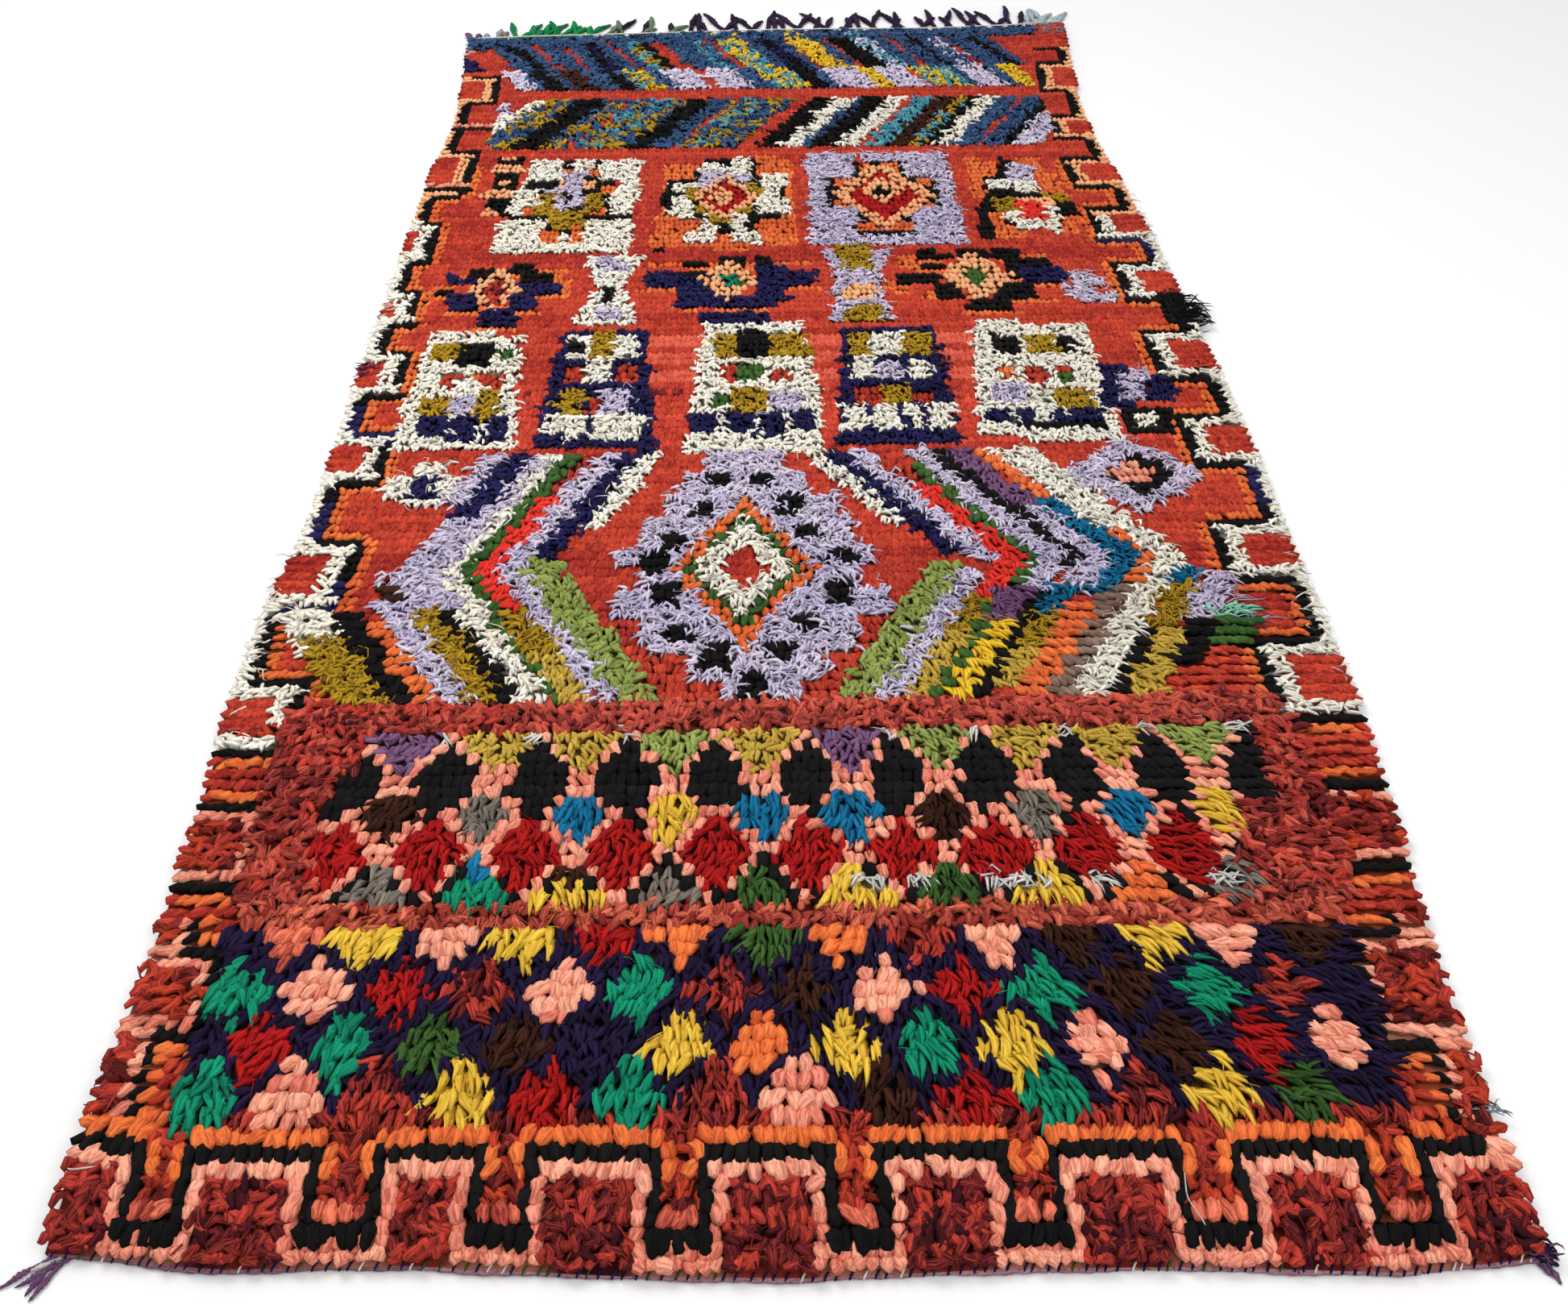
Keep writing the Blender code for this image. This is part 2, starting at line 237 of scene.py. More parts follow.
# A wisp is a thin strand that stands out of its lock.
WISPS = {
    "wool": Lock("wool", 1, 3, 3, 0.0034, 0.036, 0.0215, 34, 0, 50, 0.0060, (1.0, 0.95, 0.55)),
    "cotton": Lock("cotton", 1, 3, 4, 0.0026, 0.044, 0.0225, 50, 0, 70, 0.0090, (1.0, 0.95, 0.85, 0.55)),
}
# The yarns that were spun from more than one shade, and how far each row's dye is off.
HEATHERED = ("maroon", "rust", "coral", "mottled")
ROW_SHADES = rng.normal(0, 0.15, ROWS)


def linear(rgb):
    share = np.array(rgb) / 255.0
    return np.where(share <= 0.04045, share / 12.92, ((share + 0.055) / 1.055) ** 2.4)


def dyed(names, rows):
    """The lighter and darker shade of each knot's yarn: every dye wavers, by row and by lock."""
    light, dark = np.zeros((len(names), 3)), np.zeros((len(names), 3))
    wave = 0.08 * np.sin(rows * 0.9) + 0.10 * np.sin(rows * 0.23 + 1.3) + ROW_SHADES[rows]
    for name in np.unique(names):
        chosen = names == name
        first, last = (linear(rgb) for rgb in DYES[name])
        unevenness = 0.34 if name in HEATHERED else 0.15
        mix = np.clip(0.26 + wave[chosen] + rng.normal(0, unevenness, chosen.sum()), 0, 1)[:, None]
        light[chosen] = first * (1 - mix) + last * mix
        mix = np.clip(mix + 0.48, 0, 1)
        dark[chosen] = first * (1 - mix) + last * mix
    return light, dark


def lie():
    """The way that each knot's pile lies, in radians from straight towards the near end to the right."""
    x, y = knot_x, knot_y
    turn = 0.16 * np.sin(2.6 * x + 1.9 * y) + 0.10 * np.sin(7.0 * y - 4.0 * x)
    turn += 0.20 * np.sin(47.0 * x - 29.0 * y + 2.2 * np.sin(19.0 * y)) * np.clip((-0.78 - y) / 0.05, 0.4, 1)
    shaggy = np.clip((-0.35 - y) / 0.2, 0, 1) * np.clip((y + 1.40) / 0.05, 0, 1)
    turn += shaggy * (1.05 * np.clip((x - 0.05) / 0.45, 0, 1) - 0.45 * np.clip((-0.35 - x) / 0.2, 0, 1))
    outward = np.clip(1.15 - from_side / (0.030 + 0.055 * shaggy), 0, 1) * np.sign(x)
    return turn * (1 - abs(outward)) + 1.15 * outward


knot_turn = lie()


def skin(centres, radii, sides, flatness=0.72):
    """Wraps each line of centres in a slightly flat tube of rings, and closes it in a blunt point."""
    along = np.gradient(centres, axis=1)
    along /= np.linalg.norm(along, axis=2, keepdims=True)
    side = np.cross((0.0, 0.0, 1.0), along)
    side /= np.linalg.norm(side, axis=2, keepdims=True)
    top = np.cross(along, side)
    ring = np.arange(sides) * 2 * math.pi / sides
    across_lock = np.cos(ring)[None, None, :, None] * side[:, :-1, None]
    up_lock = flatness * np.sin(ring)[None, None, :, None] * top[:, :-1, None]
    rings = centres[:, :-1, None] + radii[:, :, None, None] * (across_lock + up_lock)
    points = np.concatenate((rings.reshape(len(centres), -1, 3), centres[:, -1:]), axis=1)
    points[:, :, 2] = np.maximum(points[:, :, 2], LOWEST)
    return points


def lock_grain(count, sides, steps):
    """Where each point is on its own lock: round it, and along it. The fibres of the yarn follow this, and so
    does the painted shade at the roots, tips and undersides.
    """
    ring = np.arange(sides) * 2 * math.pi / sides
    around = np.stack((np.tile(np.cos(ring), len(steps) - 1), np.tile(np.sin(ring), len(steps) - 1)), axis=1)
    around = np.concatenate((around, np.zeros((1, 2))))
    grain = np.zeros((count, len(around), 3))
    grain[:, :, :2] = around
    grain[:, :, 2] = np.append(np.repeat(steps[:-1], sides), steps[-1])
    grain[:, :, 0] += rng.uniform(0, 90, count)[:, None]
    return grain


def spin(place, turn, shades, lock, edge_spread=EDGE_SPREAD):
    """Draws the locks of some knots: each rises from its root, bends over, lies down and ends bluntly."""
    count = len(place) * lock.strands
    x, y = (np.repeat(place[:, k], lock.strands) for k in (0, 1))
    x = x + rng.uniform(-1, 1, count) * lock.scatter * 0.7
    y = y + rng.uniform(-1, 1, count) * lock.scatter
    heading = turn + rng.normal(0, math.radians(lock.stray), len(place))
    heading = np.repeat(heading, lock.strands) + rng.normal(0, math.radians(lock.splay), count)
    swing = rng.normal(0, math.radians(lock.curl), count)
    phase = rng.uniform(0, 2 * math.pi, count)
    length = lock.length * rng.uniform(0.80, 1.16, count)
    rise = lock.rise * rng.uniform(0.84, 1.10, count)
    width = lock.width * rng.uniform(0.84, 1.14, count)
    shade = rng.uniform(0.93, 1.05, count)[:, None]
    shades = [np.repeat(colours, lock.strands, axis=0) * shade for colours in shades]
    steps = np.append(np.linspace(0.0, 0.87, lock.rings), 1.0)
    centres = np.zeros((count, lock.rings + 1, 3))
    x = x - ROOT_SHARE * length * np.sin(heading)
    y = y + ROOT_SHARE * length * np.cos(heading)
    x = np.clip(x, left_edge(y) + 0.003, right_edge(y) - 0.003)
    y = np.minimum(y, far_edge(x) - 0.002)
    centres[:, 0] = np.stack((x, y, np.full(count, ROOT_HEIGHT)), axis=1)
    headings = heading[:, None] + swing[:, None] * np.sin(phase[:, None] + 5.0 * steps)
    for k in range(1, lock.rings + 1):
        run = length * (steps[k] ** 1.25 - steps[k - 1] ** 1.25)
        centres[:, k, 0] = centres[:, k - 1, 0] + run * np.sin(headings[:, k])
        centres[:, k, 1] = centres[:, k - 1, 1] - run * np.cos(headings[:, k])
        held = np.clip(centres[:, k, 0], left_edge(centres[:, k, 1]), right_edge(centres[:, k, 1]))
        centres[:, k, 0] = held + edge_spread * (centres[:, k, 0] - held)
        held = np.maximum(centres[:, k, 1], near_edge(centres[:, k, 0]) + NEAR_INSET)
        centres[:, k, 1] = held + edge_spread * (centres[:, k, 1] - held)
        centres[:, k, 2] = ROOT_HEIGHT + (rise - 0.002) * (1 - (1 - steps[k]) ** 2.4 - 0.25 * steps[k] ** 4)
    radii = width[:, None] / 2 * np.array(lock.ends)[None]
    points = skin(centres, radii, lock.sides)
    return points, lock_grain(count, lock.sides, steps), shades


def lock_faces(sides, rings):
    """The triangles of one lock, and each corner's place on that lock's own patch of the bake map."""
    faces, corners = [], []
    tip = rings * sides
    for k in range(sides):
        turned = (k + 1) % sides
        u0, u1 = k / sides, (k + 1) / sides
        for r in range(rings - 1):
            low, high = r * sides, (r + 1) * sides
            v0, v1 = r / rings, (r + 1) / rings
            faces += [(low + k, low + turned, high + turned), (low + k, high + turned, high + k)]
            corners += [((u0, v0), (u1, v0), (u1, v1)), ((u0, v0), (u1, v1), (u0, v1))]
        low = (rings - 1) * sides
        v0 = (rings - 1) / rings
        faces.append((low + k, low + turned, tip))
        corners.append(((u0, v0), (u1, v0), ((u0 + u1) / 2, 1.0)))
    return np.array(faces), np.array(corners)


def mesh_of(name, points, faces, finishes, indices, dyes, grain, bake):
    """A mesh of triangles that carries both shades of its dye, the grain of its yarn and a bake map."""
    mesh = bpy.data.meshes.new(name)
    mesh.vertices.add(len(points))
    mesh.vertices.foreach_set("co", points.astype(np.float32).ravel())
    mesh.loops.add(faces.size)
    mesh.loops.foreach_set("vertex_index", faces.astype(np.int32).ravel())
    mesh.polygons.add(len(faces))
    mesh.polygons.foreach_set("loop_start", np.arange(0, faces.size, 3, dtype=np.int32))
    mesh.polygons.foreach_set("material_index", indices.astype(np.int32))
    mesh.polygons.foreach_set("use_smooth", np.ones(len(faces), dtype=bool))
    mesh.update(calc_edges=True)
    for attribute, colours in zip(("dye", "shade"), dyes):
        colours = np.hstack((colours, np.ones((len(colours), 1)))).astype(np.float32)
        mesh.attributes.new(attribute, "FLOAT_COLOR", "POINT").data.foreach_set("color", colours.ravel())
    grain_layer = mesh.attributes.new("grain", "FLOAT_VECTOR", "POINT")
    grain_layer.data.foreach_set("vector", grain.astype(np.float32).ravel())
    bake_layer = mesh.uv_layers.new(name="OFBake")
    bake_layer.uv.foreach_set("vector", bake.astype(np.float32).ravel())
    for finish in finishes:
        mesh.materials.append(FINISHES[finish])
    return link(bpy.data.objects.new(name, mesh))


def piece_of(name, parts, node):
    """One piece from groups of like locks. A group is its finish, sides, rings, points, grain and shades."""
    finishes = sorted({part[0] for part in parts})
    total = sum(len(part[3]) for part in parts)
    patches = math.ceil(math.sqrt(total))
    points, faces, indices, light, dark, grains, bake = [], [], [], [], [], [], []
    first_point, first_lock = 0, 0
    for finish, sides, rings, its_points, grain, shades in parts:
        count, size = its_points.shape[:2]
        one, corners = lock_faces(sides, rings)
        starts = first_point + np.arange(count) * size
        faces.append((one[None] + starts[:, None, None]).reshape(-1, 3))
        points.append(its_points.reshape(-1, 3))
        indices.append(np.full(count * len(one), finishes.index(finish)))
        light.append(np.repeat(shades[0], size, axis=0))
        dark.append(np.repeat(shades[1], size, axis=0))
        grains.append(grain.reshape(-1, 3))
        order = first_lock + np.arange(count)
        place = np.stack((order % patches, order // patches), axis=1)[:, None, None, :]
        bake.append(((place + 0.06 + 0.88 * corners[None]) / patches).reshape(-1, 2))
        first_point += count * size
        first_lock += count
    whole = [np.concatenate(part) for part in (points, faces, indices, light, dark, grains, bake)]
    piece = mesh_of(name, whole[0], whole[1], finishes, whole[2], whole[3:5], whole[5], whole[6])
    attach(piece, "root")
    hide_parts(node)


def tie(name, where, lock, others=None):
    """Ties a motif's knots, each yarn in its own kind of lock, and makes one piece of them."""
    where = where & ~tied
    tied[where] = True
    locks = {knotted: (others or {}).get(knotted, lock) for knotted in np.unique(yarn[where])}
    parts = []
    for kind in dict.fromkeys(locks.values()):
        names = [knotted for knotted, its_lock in locks.items() if its_lock == kind]
        chosen = where & np.isin(yarn, names)
        place = np.stack((knot_x[chosen], knot_y[chosen]), axis=1)
        spun = spin(place, knot_turn[chosen], dyed(yarn[chosen], knot_row[chosen]), kind)
        parts.append((kind.finish, kind.sides, kind.rings, *spun))
        if kind.wisps > 0:
            wispy = rng.random(len(place)) < kind.wisps
            wisp = WISPS[kind.finish]
            dyes = dyed(yarn[chosen][wispy], knot_row[chosen][wispy])
            spun = spin(place[wispy], knot_turn[chosen][wispy], dyes, wisp)
            parts.append((wisp.finish, wisp.sides, wisp.rings, *spun))
    piece_of(name, parts, "rug_body")


def yarn_finish(name, fibres, fibre_depth, fibre_length, painted_root_shade, painted_side_shade, painted_furrow_shade, painted_tip_shade):
    """Dyed yarn: fibres run along the lock in two shades of the dye, with painted shade towards the root down
    in the pile, on the undersides, in the furrows between fibres and at the tip.
    """
    finish = bpy.data.materials.new(name)
    finish.use_nodes = True
    nodes, wires = finish.node_tree.nodes, finish.node_tree.links
    shader = nodes["Principled BSDF"]
    shader.inputs["Roughness"].default_value = 0.92
    shader.inputs["Specular IOR Level"].default_value = 0.10
    dye = nodes.new("ShaderNodeAttribute")
    dye.attribute_name = "dye"
    shade = nodes.new("ShaderNodeAttribute")
    shade.attribute_name = "shade"
    grain = nodes.new("ShaderNodeAttribute")
    grain.attribute_name = "grain"
    stretched = nodes.new("ShaderNodeMapping")
    stretched.inputs["Scale"].default_value = (1.0, 1.0, fibre_length)
    wires.new(grain.outputs["Vector"], stretched.inputs["Vector"])
    fibre = nodes.new("ShaderNodeTexNoise")
    fibre.inputs["Scale"].default_value = fibres
    fibre.inputs["Detail"].default_value = 3.0
    fibre.inputs["Roughness"].default_value = 0.65
    fibre.inputs["Distortion"].default_value = 0.4
    wires.new(stretched.outputs["Vector"], fibre.inputs["Vector"])
    heather = nodes.new("ShaderNodeMapRange")
    heather.inputs["From Min"].default_value = 0.40
    heather.inputs["From Max"].default_value = 0.60
    wires.new(fibre.outputs["Fac"], heather.inputs["Value"])
    mixed = nodes.new("ShaderNodeMix")
    mixed.data_type = "RGBA"
    wires.new(heather.outputs["Result"], mixed.inputs["Factor"])
    wires.new(shade.outputs["Color"], mixed.inputs["A"])
    wires.new(dye.outputs["Color"], mixed.inputs["B"])
    along = nodes.new("ShaderNodeSeparateXYZ")
    wires.new(grain.outputs["Vector"], along.inputs["Vector"])
    # Painted shade: each lock darkens towards its root, down in the pile, and its tip takes the painted tip
    # shade.
    painted_depth_shade = nodes.new("ShaderNodeValToRGB")
    painted_depth_shade.color_ramp.elements[0].color = (painted_root_shade, painted_root_shade, painted_root_shade, 1.0)
    painted_depth_shade.color_ramp.elements[1].color = (1.0, 1.0, 1.0, 1.0)
    painted_depth_shade.color_ramp.elements[1].position = 0.42
    fully_lit = painted_depth_shade.color_ramp.elements.new(0.80)
    fully_lit.color = (1.0, 1.0, 1.0, 1.0)
    tip = painted_depth_shade.color_ramp.elements.new(1.0)
    tip.color = (painted_tip_shade, painted_tip_shade, painted_tip_shade, 1.0)
    wires.new(along.outputs["Z"], painted_depth_shade.inputs["Fac"])
    # Painted shade on the flanks and underside of each lock, multiplied with the painted root and tip shade.
    painted_underside_shade = nodes.new("ShaderNodeMapRange")
    painted_underside_shade.inputs["From Min"].default_value = -0.5
    painted_underside_shade.inputs["From Max"].default_value = 0.65
    painted_underside_shade.inputs["To Min"].default_value = painted_side_shade
    wires.new(along.outputs["Y"], painted_underside_shade.inputs["Value"])
    painted_hollow_shade = nodes.new("ShaderNodeMath")
    painted_hollow_shade.operation = "MULTIPLY"
    wires.new(painted_depth_shade.outputs["Color"], painted_hollow_shade.inputs[0])
    wires.new(painted_underside_shade.outputs["Result"], painted_hollow_shade.inputs[1])
    # Painted shade in the furrows between fibres, where the fibre bump is low; all the painted shade is then
    # multiplied into the dye.
    furrow = nodes.new("ShaderNodeMapRange")
    furrow.inputs["From Min"].default_value = 0.38
    furrow.inputs["From Max"].default_value = 0.52
    furrow.inputs["To Min"].default_value = painted_furrow_shade
    wires.new(fibre.outputs["Fac"], furrow.inputs["Value"])
    painted_shade_total = nodes.new("ShaderNodeMath")
    painted_shade_total.operation = "MULTIPLY"
    wires.new(painted_hollow_shade.outputs["Value"], painted_shade_total.inputs[0])
    wires.new(furrow.outputs["Result"], painted_shade_total.inputs[1])
    shaded = nodes.new("ShaderNodeMix")
    shaded.data_type = "RGBA"
    shaded.blend_type = "MULTIPLY"
    shaded.inputs["Factor"].default_value = 1.0
    wires.new(mixed.outputs["Result"], shaded.inputs["A"])
    wires.new(painted_shade_total.outputs["Value"], shaded.inputs["B"])
    wires.new(shaded.outputs["Result"], shader.inputs["Base Color"])
    nap = nodes.new("ShaderNodeBump")
    nap.inputs["Strength"].default_value = 0.9
    nap.inputs["Distance"].default_value = fibre_depth
    wires.new(fibre.outputs["Fac"], nap.inputs["Height"])
    wires.new(nap.outputs["Normal"], shader.inputs["Normal"])
    return finish


# The last four numbers of a finish are its painted shade at the root, on the flanks, in the furrows and at
# the tip.
FINISHES = {"wool": yarn_finish("soft_wool", 2.3, 0.0030, 0.9, 0.55, 0.70, 0.66, 1.0)}


def across(first, last):
    return (chart_x > first) & (chart_x < last)


def between(low, high):
    return (knot_v > low) & (knot_v < high)


def column_of(x):
    """The column of knots that stands at a place across the near border."""
    return int((x - SIDE_EDGES[1, 1]) / (SIDE_EDGES[1, 2] - SIDE_EDGES[1, 1]) * SHAG_KNOTS)


def columns(first, last, low_row, high_row):
    chosen = (knot_column >= first) & (knot_column <= last)
    return chosen & (knot_row >= low_row) & (knot_row <= high_row)


near_border = knot_row < 9
yarn[near_border] = "rust"
gap_columns = [(column_of(first), column_of(last)) for first, last in UPRIGHTS]
gap_columns = [(-9, -2)] + gap_columns + [(SHAG_KNOTS + 1, SHAG_KNOTS + 9)]
for (_, before), (after, _) in zip(gap_columns, gap_columns[1:]):
    yarn[columns(before, after, 8, 8)] = "orange"
    yarn[columns(before - 1, after + 1, 6, 7)] = "orange"
    yarn[columns(before, after, 3, 7)] = "black"
    yarn[columns(before + 1, after - 1, 0, 6)] = "salmon"
    yarn[columns(before + 2, after - 2, 0, 5)] = "maroon"
for before, after in gap_columns:
    yarn[columns(before, after, 2, 2)] = "black"
    yarn[columns(before, after, 0, 1)] = "salmon"
    yarn[columns(before + 2, after - 2, 3, 8) & (rng.random(len(knot_x)) < 0.6)] = "maroon"
    yarn[columns(before + 1, after - 1, 3, 3)] = "coral"
yarn[columns(SHAG_KNOTS - 5, SHAG_KNOTS, 8, 8)] = "rust"
yarn[columns(SHAG_KNOTS - 2, SHAG_KNOTS, 7, 7)] = "salmon"
# The black lines at the feet of the gaps hang over the salmon rows below them.
BAR_HANG = 0.008
knot_y[near_border & (knot_row == 2) & (yarn == "black")] -= BAR_HANG
edge_locks = {"maroon": FELTED_WOOL, "rust": FELTED_WOOL, "black": BAR_WOOL._replace(width=0.0195)}
tie("near_edge_pile", knot_row < 3, SHORN_WOOL, edge_locks)
arch_locks = {"maroon": FELTED_WOOL, "rust": FELTED_WOOL, "black": BAR_WOOL}
tie("near_border_pile", near_border, FAT_WOOL, arch_locks)

# The patchwork is four rows of small lozenges, each in whatever yarn was left over, on a ground of
# aubergine. The pile is the longest of the rug and falls over the motifs below it.
DYES.update({
    "yellow": ((246, 204, 72), (224, 176, 56)),
    "crimson": ((196, 30, 28), (150, 20, 22)),
    "green": ((72, 108, 48), (46, 78, 36)),
    "brown": ((74, 40, 26), (44, 22, 16)),
    "emerald": ((22, 156, 116), (14, 116, 88)),
    "aubergine": ((42, 28, 66), (24, 16, 40)),
})
PATCH_PITCH = 0.0925
PATCH_ROWS = (
    (-1.155, -0.605,
     "coral yellow salmon yellow crimson orange green orange maroon salmon brown yellow salmon brown"),
    (-1.230, -0.650,
     "emerald salmon crimson maroon salmon emerald maroon brown salmon crimson emerald brown emerald maroon"),
    (-1.300, -0.605,
     "crimson emerald green brown aubergine yellow orange yellow emerald yellow salmon brown crimson salmon"),
    (-1.360, -0.655,
     "emerald salmon maroon yellow crimson emerald maroon salmon brown crimson emerald maroon yellow green"),
)
PATCH_HALF_WIDTH, PATCH_HALF_HEIGHT = 0.040, 0.047
LONG_COTTON = Lock("cotton", 3, 3, 4, 0.0108, 0.048, 0.021, 15, 7, 12, 0.0050, (0.85, 1.0, 1.0, 0.50), 0.3)
LONG_WOOL = Lock("wool", 3, 3, 4, 0.0110, 0.043, 0.020, 18, 12, 16, 0.0050, (0.85, 1.0, 0.90, 0.45), 0.15)
FINISHES["cotton"] = yarn_finish("slack_cotton", 2.4, 0.0024, 0.45, 0.84, 0.88, 0.76, 1.0)


def lozenge(x, v, half_width, half_height):
    return abs(chart_x - x) / half_width + abs(knot_v - v) / half_height < 1


patchwork = between(LEVEL_END + 0.008, -1.137) & across(-0.682, 0.655)
yarn[patchwork] = "aubergine"
yarn[patchwork & (knot_row == 9)] = "maroon"
for v, first, colours in PATCH_ROWS:
    for k, colour in enumerate(colours.split()):
        scrap = lozenge(first + k * PATCH_PITCH, v, PATCH_HALF_WIDTH, PATCH_HALF_HEIGHT)
        yarn[patchwork & scrap] = colour
scrap_locks = {
    "yellow": LONG_COTTON, "emerald": LONG_COTTON, "salmon": FAT_WOOL, "orange": FAT_WOOL, "coral": FAT_WOOL,
}
tie("patchwork_pile", patchwork, LONG_WOOL, scrap_locks)

# The lattice: five courses of lozenges on black, most of them edged in salmon, between a coral band on the
# near side and a mottled red one on the far side and at both ends. Small white ties mark where its top
# course meets the red band, and white threads lie in its lowest course.
DYES.update({
    "mauve": ((136, 96, 134), (100, 64, 100)),
    "ochre": ((214, 180, 76), (184, 148, 58)),
    "olive": ((164, 176, 94), (126, 140, 68)),
    "grey": ((146, 134, 122), (112, 102, 94)),
    "teal": ((26, 128, 172), (16, 92, 132)),
    "white": ((242, 239, 233), (216, 212, 206)),
    "mottled": ((224, 96, 77), (104, 33, 35)),
})
LATTICE_PITCH = 0.1178
LATTICE_FIRST = -0.520
TOP_COURSE = "mauve ochre ochre olive ochre mauve olive ochre ochre olive".split()
MIDDLE_COURSE = "brown grey teal yellow teal teal brown grey teal yellow".split()
BOTTOM_COURSE = "grey emerald yellow grey green yellow green yellow orange grey".split()
SLUB_COTTON = Lock("cotton", 3, 3, 3, 0.0104, 0.032, 0.019, 22, 18, 24, 0.0075, (0.85, 1.0, 0.74))
TIE_COTTON = Lock("cotton", 4, 3, 4, 0.0064, 0.040, 0.023, 24, 26, 40, 0.0040, (0.90, 1.0, 0.80, 0.50), 0.5)
ROUND_WOOL = Lock("wool", 1, 5, 3, 0.0178, 0.031, 0.018, 14, 0, 12, 0.0025, (0.80, 1.0, 0.70))
lattice = between(-1.099, -0.812) & across(-0.605, 0.615)
lattice &= ~(between(-0.900, -0.8) & across(-0.70, -0.575))
yarn[lattice] = "black"
for k, colour in enumerate(BOTTOM_COURSE):
    x = LATTICE_FIRST + k * LATTICE_PITCH
    yarn[lattice & lozenge(x, -1.105, 0.047, 0.060)] = colour
yarn[lattice & lozenge(-0.285, -1.055, 0.030, 0.030)] = "brown"
yarn[lattice & lozenge(-0.395, -1.045, 0.026, 0.032)] = "teal"
for k in range(len(TOP_COURSE) + 1):
    x = LATTICE_FIRST + (k - 0.5) * LATTICE_PITCH
    if k < len(TOP_COURSE):
        yarn[lattice & lozenge(x, -1.030, 0.064, 0.074)] = "salmon"
        yarn[lattice & lozenge(x, -1.030, 0.050, 0.060)] = "crimson"
    yarn[lattice & lozenge(x, -0.900, 0.058, 0.066)] = "black"
for k, (top, middle) in enumerate(zip(TOP_COURSE, MIDDLE_COURSE)):
    x = LATTICE_FIRST + k * LATTICE_PITCH
    yarn[lattice & lozenge(x, -0.962, 0.048, 0.072)] = "salmon"
    yarn[lattice & lozenge(x, -0.962, 0.034, 0.056)] = middle
    yarn[lattice & (abs(chart_x - x) < 0.024) & between(-0.928, -0.884)] = "salmon"
    yarn[lattice & lozenge(x, -0.805, 0.078, 0.115)] = "salmon"
    yarn[lattice & lozenge(x, -0.805, 0.066, 0.097)] = top
    yarn[lattice & lozenge(x + LATTICE_PITCH / 2, -0.820, 0.019, 0.029)] = "white"
for x in (0.084, 0.146, 0.242, 0.284, 0.364, 0.520):
    yarn[lattice & lozenge(x, -1.080, 0.021, 0.016)] = "white"
lattice &= ~(between(-1.10, -0.955) & across(0.560, 0.70))
coral_band = between(-1.137, -1.099) & across(-0.675, 0.655)
coral_band |= between(-1.16, -1.06) & across(-0.675, -0.58)
coral_band &= ~tied
yarn[coral_band] = "coral"
mottled_band = between(-0.812, -0.770) & across(-0.690, 0.675)
mottled_band |= between(-1.10, -0.812) & (across(-0.690, -0.605) | across(0.615, 0.690))
mottled_band |= between(-0.900, -0.8) & across(-0.690, -0.575)
mottled_band |= between(-1.10, -0.955) & across(0.560, 0.690)
yarn[mottled_band] = "mottled"
# Half of it is maroon at both ends of the lattice and beside the left chevrons.
darker = between(-1.08, -0.83) | between(-0.84, -0.76) & across(-0.69, -0.38)
darker &= np.random.default_rng(8).random(len(knot_x)) < 0.5
yarn[mottled_band & darker] = "maroon"
tie("lattice_pile", lattice | coral_band | mottled_band, ROUND_WOOL, {
    "black": FLAT_WOOL, "coral": FELTED_WOOL, "mottled": FELTED_WOOL, "maroon": FELTED_WOOL,
    "crimson": LONG_WOOL, "brown": LONG_WOOL, "green": LONG_WOOL,
    "mauve": SLUB_COTTON, "ochre": SLUB_COTTON, "olive": SLUB_COTTON, "yellow": LONG_COTTON,
    "emerald": LONG_COTTON, "teal": LONG_COTTON, "white": TIE_COTTON, "grey": LONG_WOOL,
})

# The medallion: a stepped lozenge in loose lavender cotton, studded with black, round rings of orange,
# green and cream. The cotton was knotted from several thin strands, which have come apart into curls.
DYES.update({
    "lavender": ((238, 226, 244), (194, 182, 216)),
    "cream": ((255, 252, 240), (250, 240, 220)),
})
MEDALLION_X, MEDALLION_V = -0.072, -0.486
MEDALLION_STEPS = (
    (-0.790, -0.735, -0.100, 0.000), (-0.735, -0.665, -0.150, 0.040), (-0.665, -0.595, -0.220, 0.092),
    (-0.595, -0.530, -0.262, 0.140), (-0.530, -0.480, -0.230, 0.100), (-0.480, -0.435, -0.268, 0.130),
    (-0.435, -0.365, -0.230, 0.098), (-0.365, -0.305, -0.195, 0.075), (-0.305, -0.245, -0.170, 0.030),
    (-0.245, -0.188, -0.135, -0.015),
)
STUD_HALF = 0.022
STUDS = (
    (-0.112, -0.275), (-0.045, -0.275), (-0.140, -0.345), (0.000, -0.335), (-0.182, -0.420), (0.030, -0.405),
    (-0.208, -0.472), (0.078, -0.455), (-0.190, -0.548), (0.072, -0.545), (-0.168, -0.625), (0.022, -0.615),
    (-0.112, -0.680), (-0.022, -0.672), (-0.058, -0.738),
)
LOOSE_COTTON = Lock("cotton", 4, 3, 4, 0.0076, 0.033, 0.020, 30, 42, 50, 0.0085, (0.90, 1.0, 0.90, 0.55), 0.5)
CREAM_COTTON = Lock("cotton", 3, 3, 4, 0.0088, 0.030, 0.019, 26, 30, 34, 0.0080, (0.90, 1.0, 0.95, 0.60), 0.5)
LOW_WOOL = Lock("wool", 1, 4, 3, 0.0142, 0.028, 0.012, 14, 0, 12, 0.0025, (0.75, 1.0, 0.80))
# The rings and studs stand nearly as high as the cotton round them.
RING_WOOL = LOW_WOOL._replace(rise=0.0178)


def box(x0, x1, v0, v1):
    return across(x0, x1) & between(v0, v1)


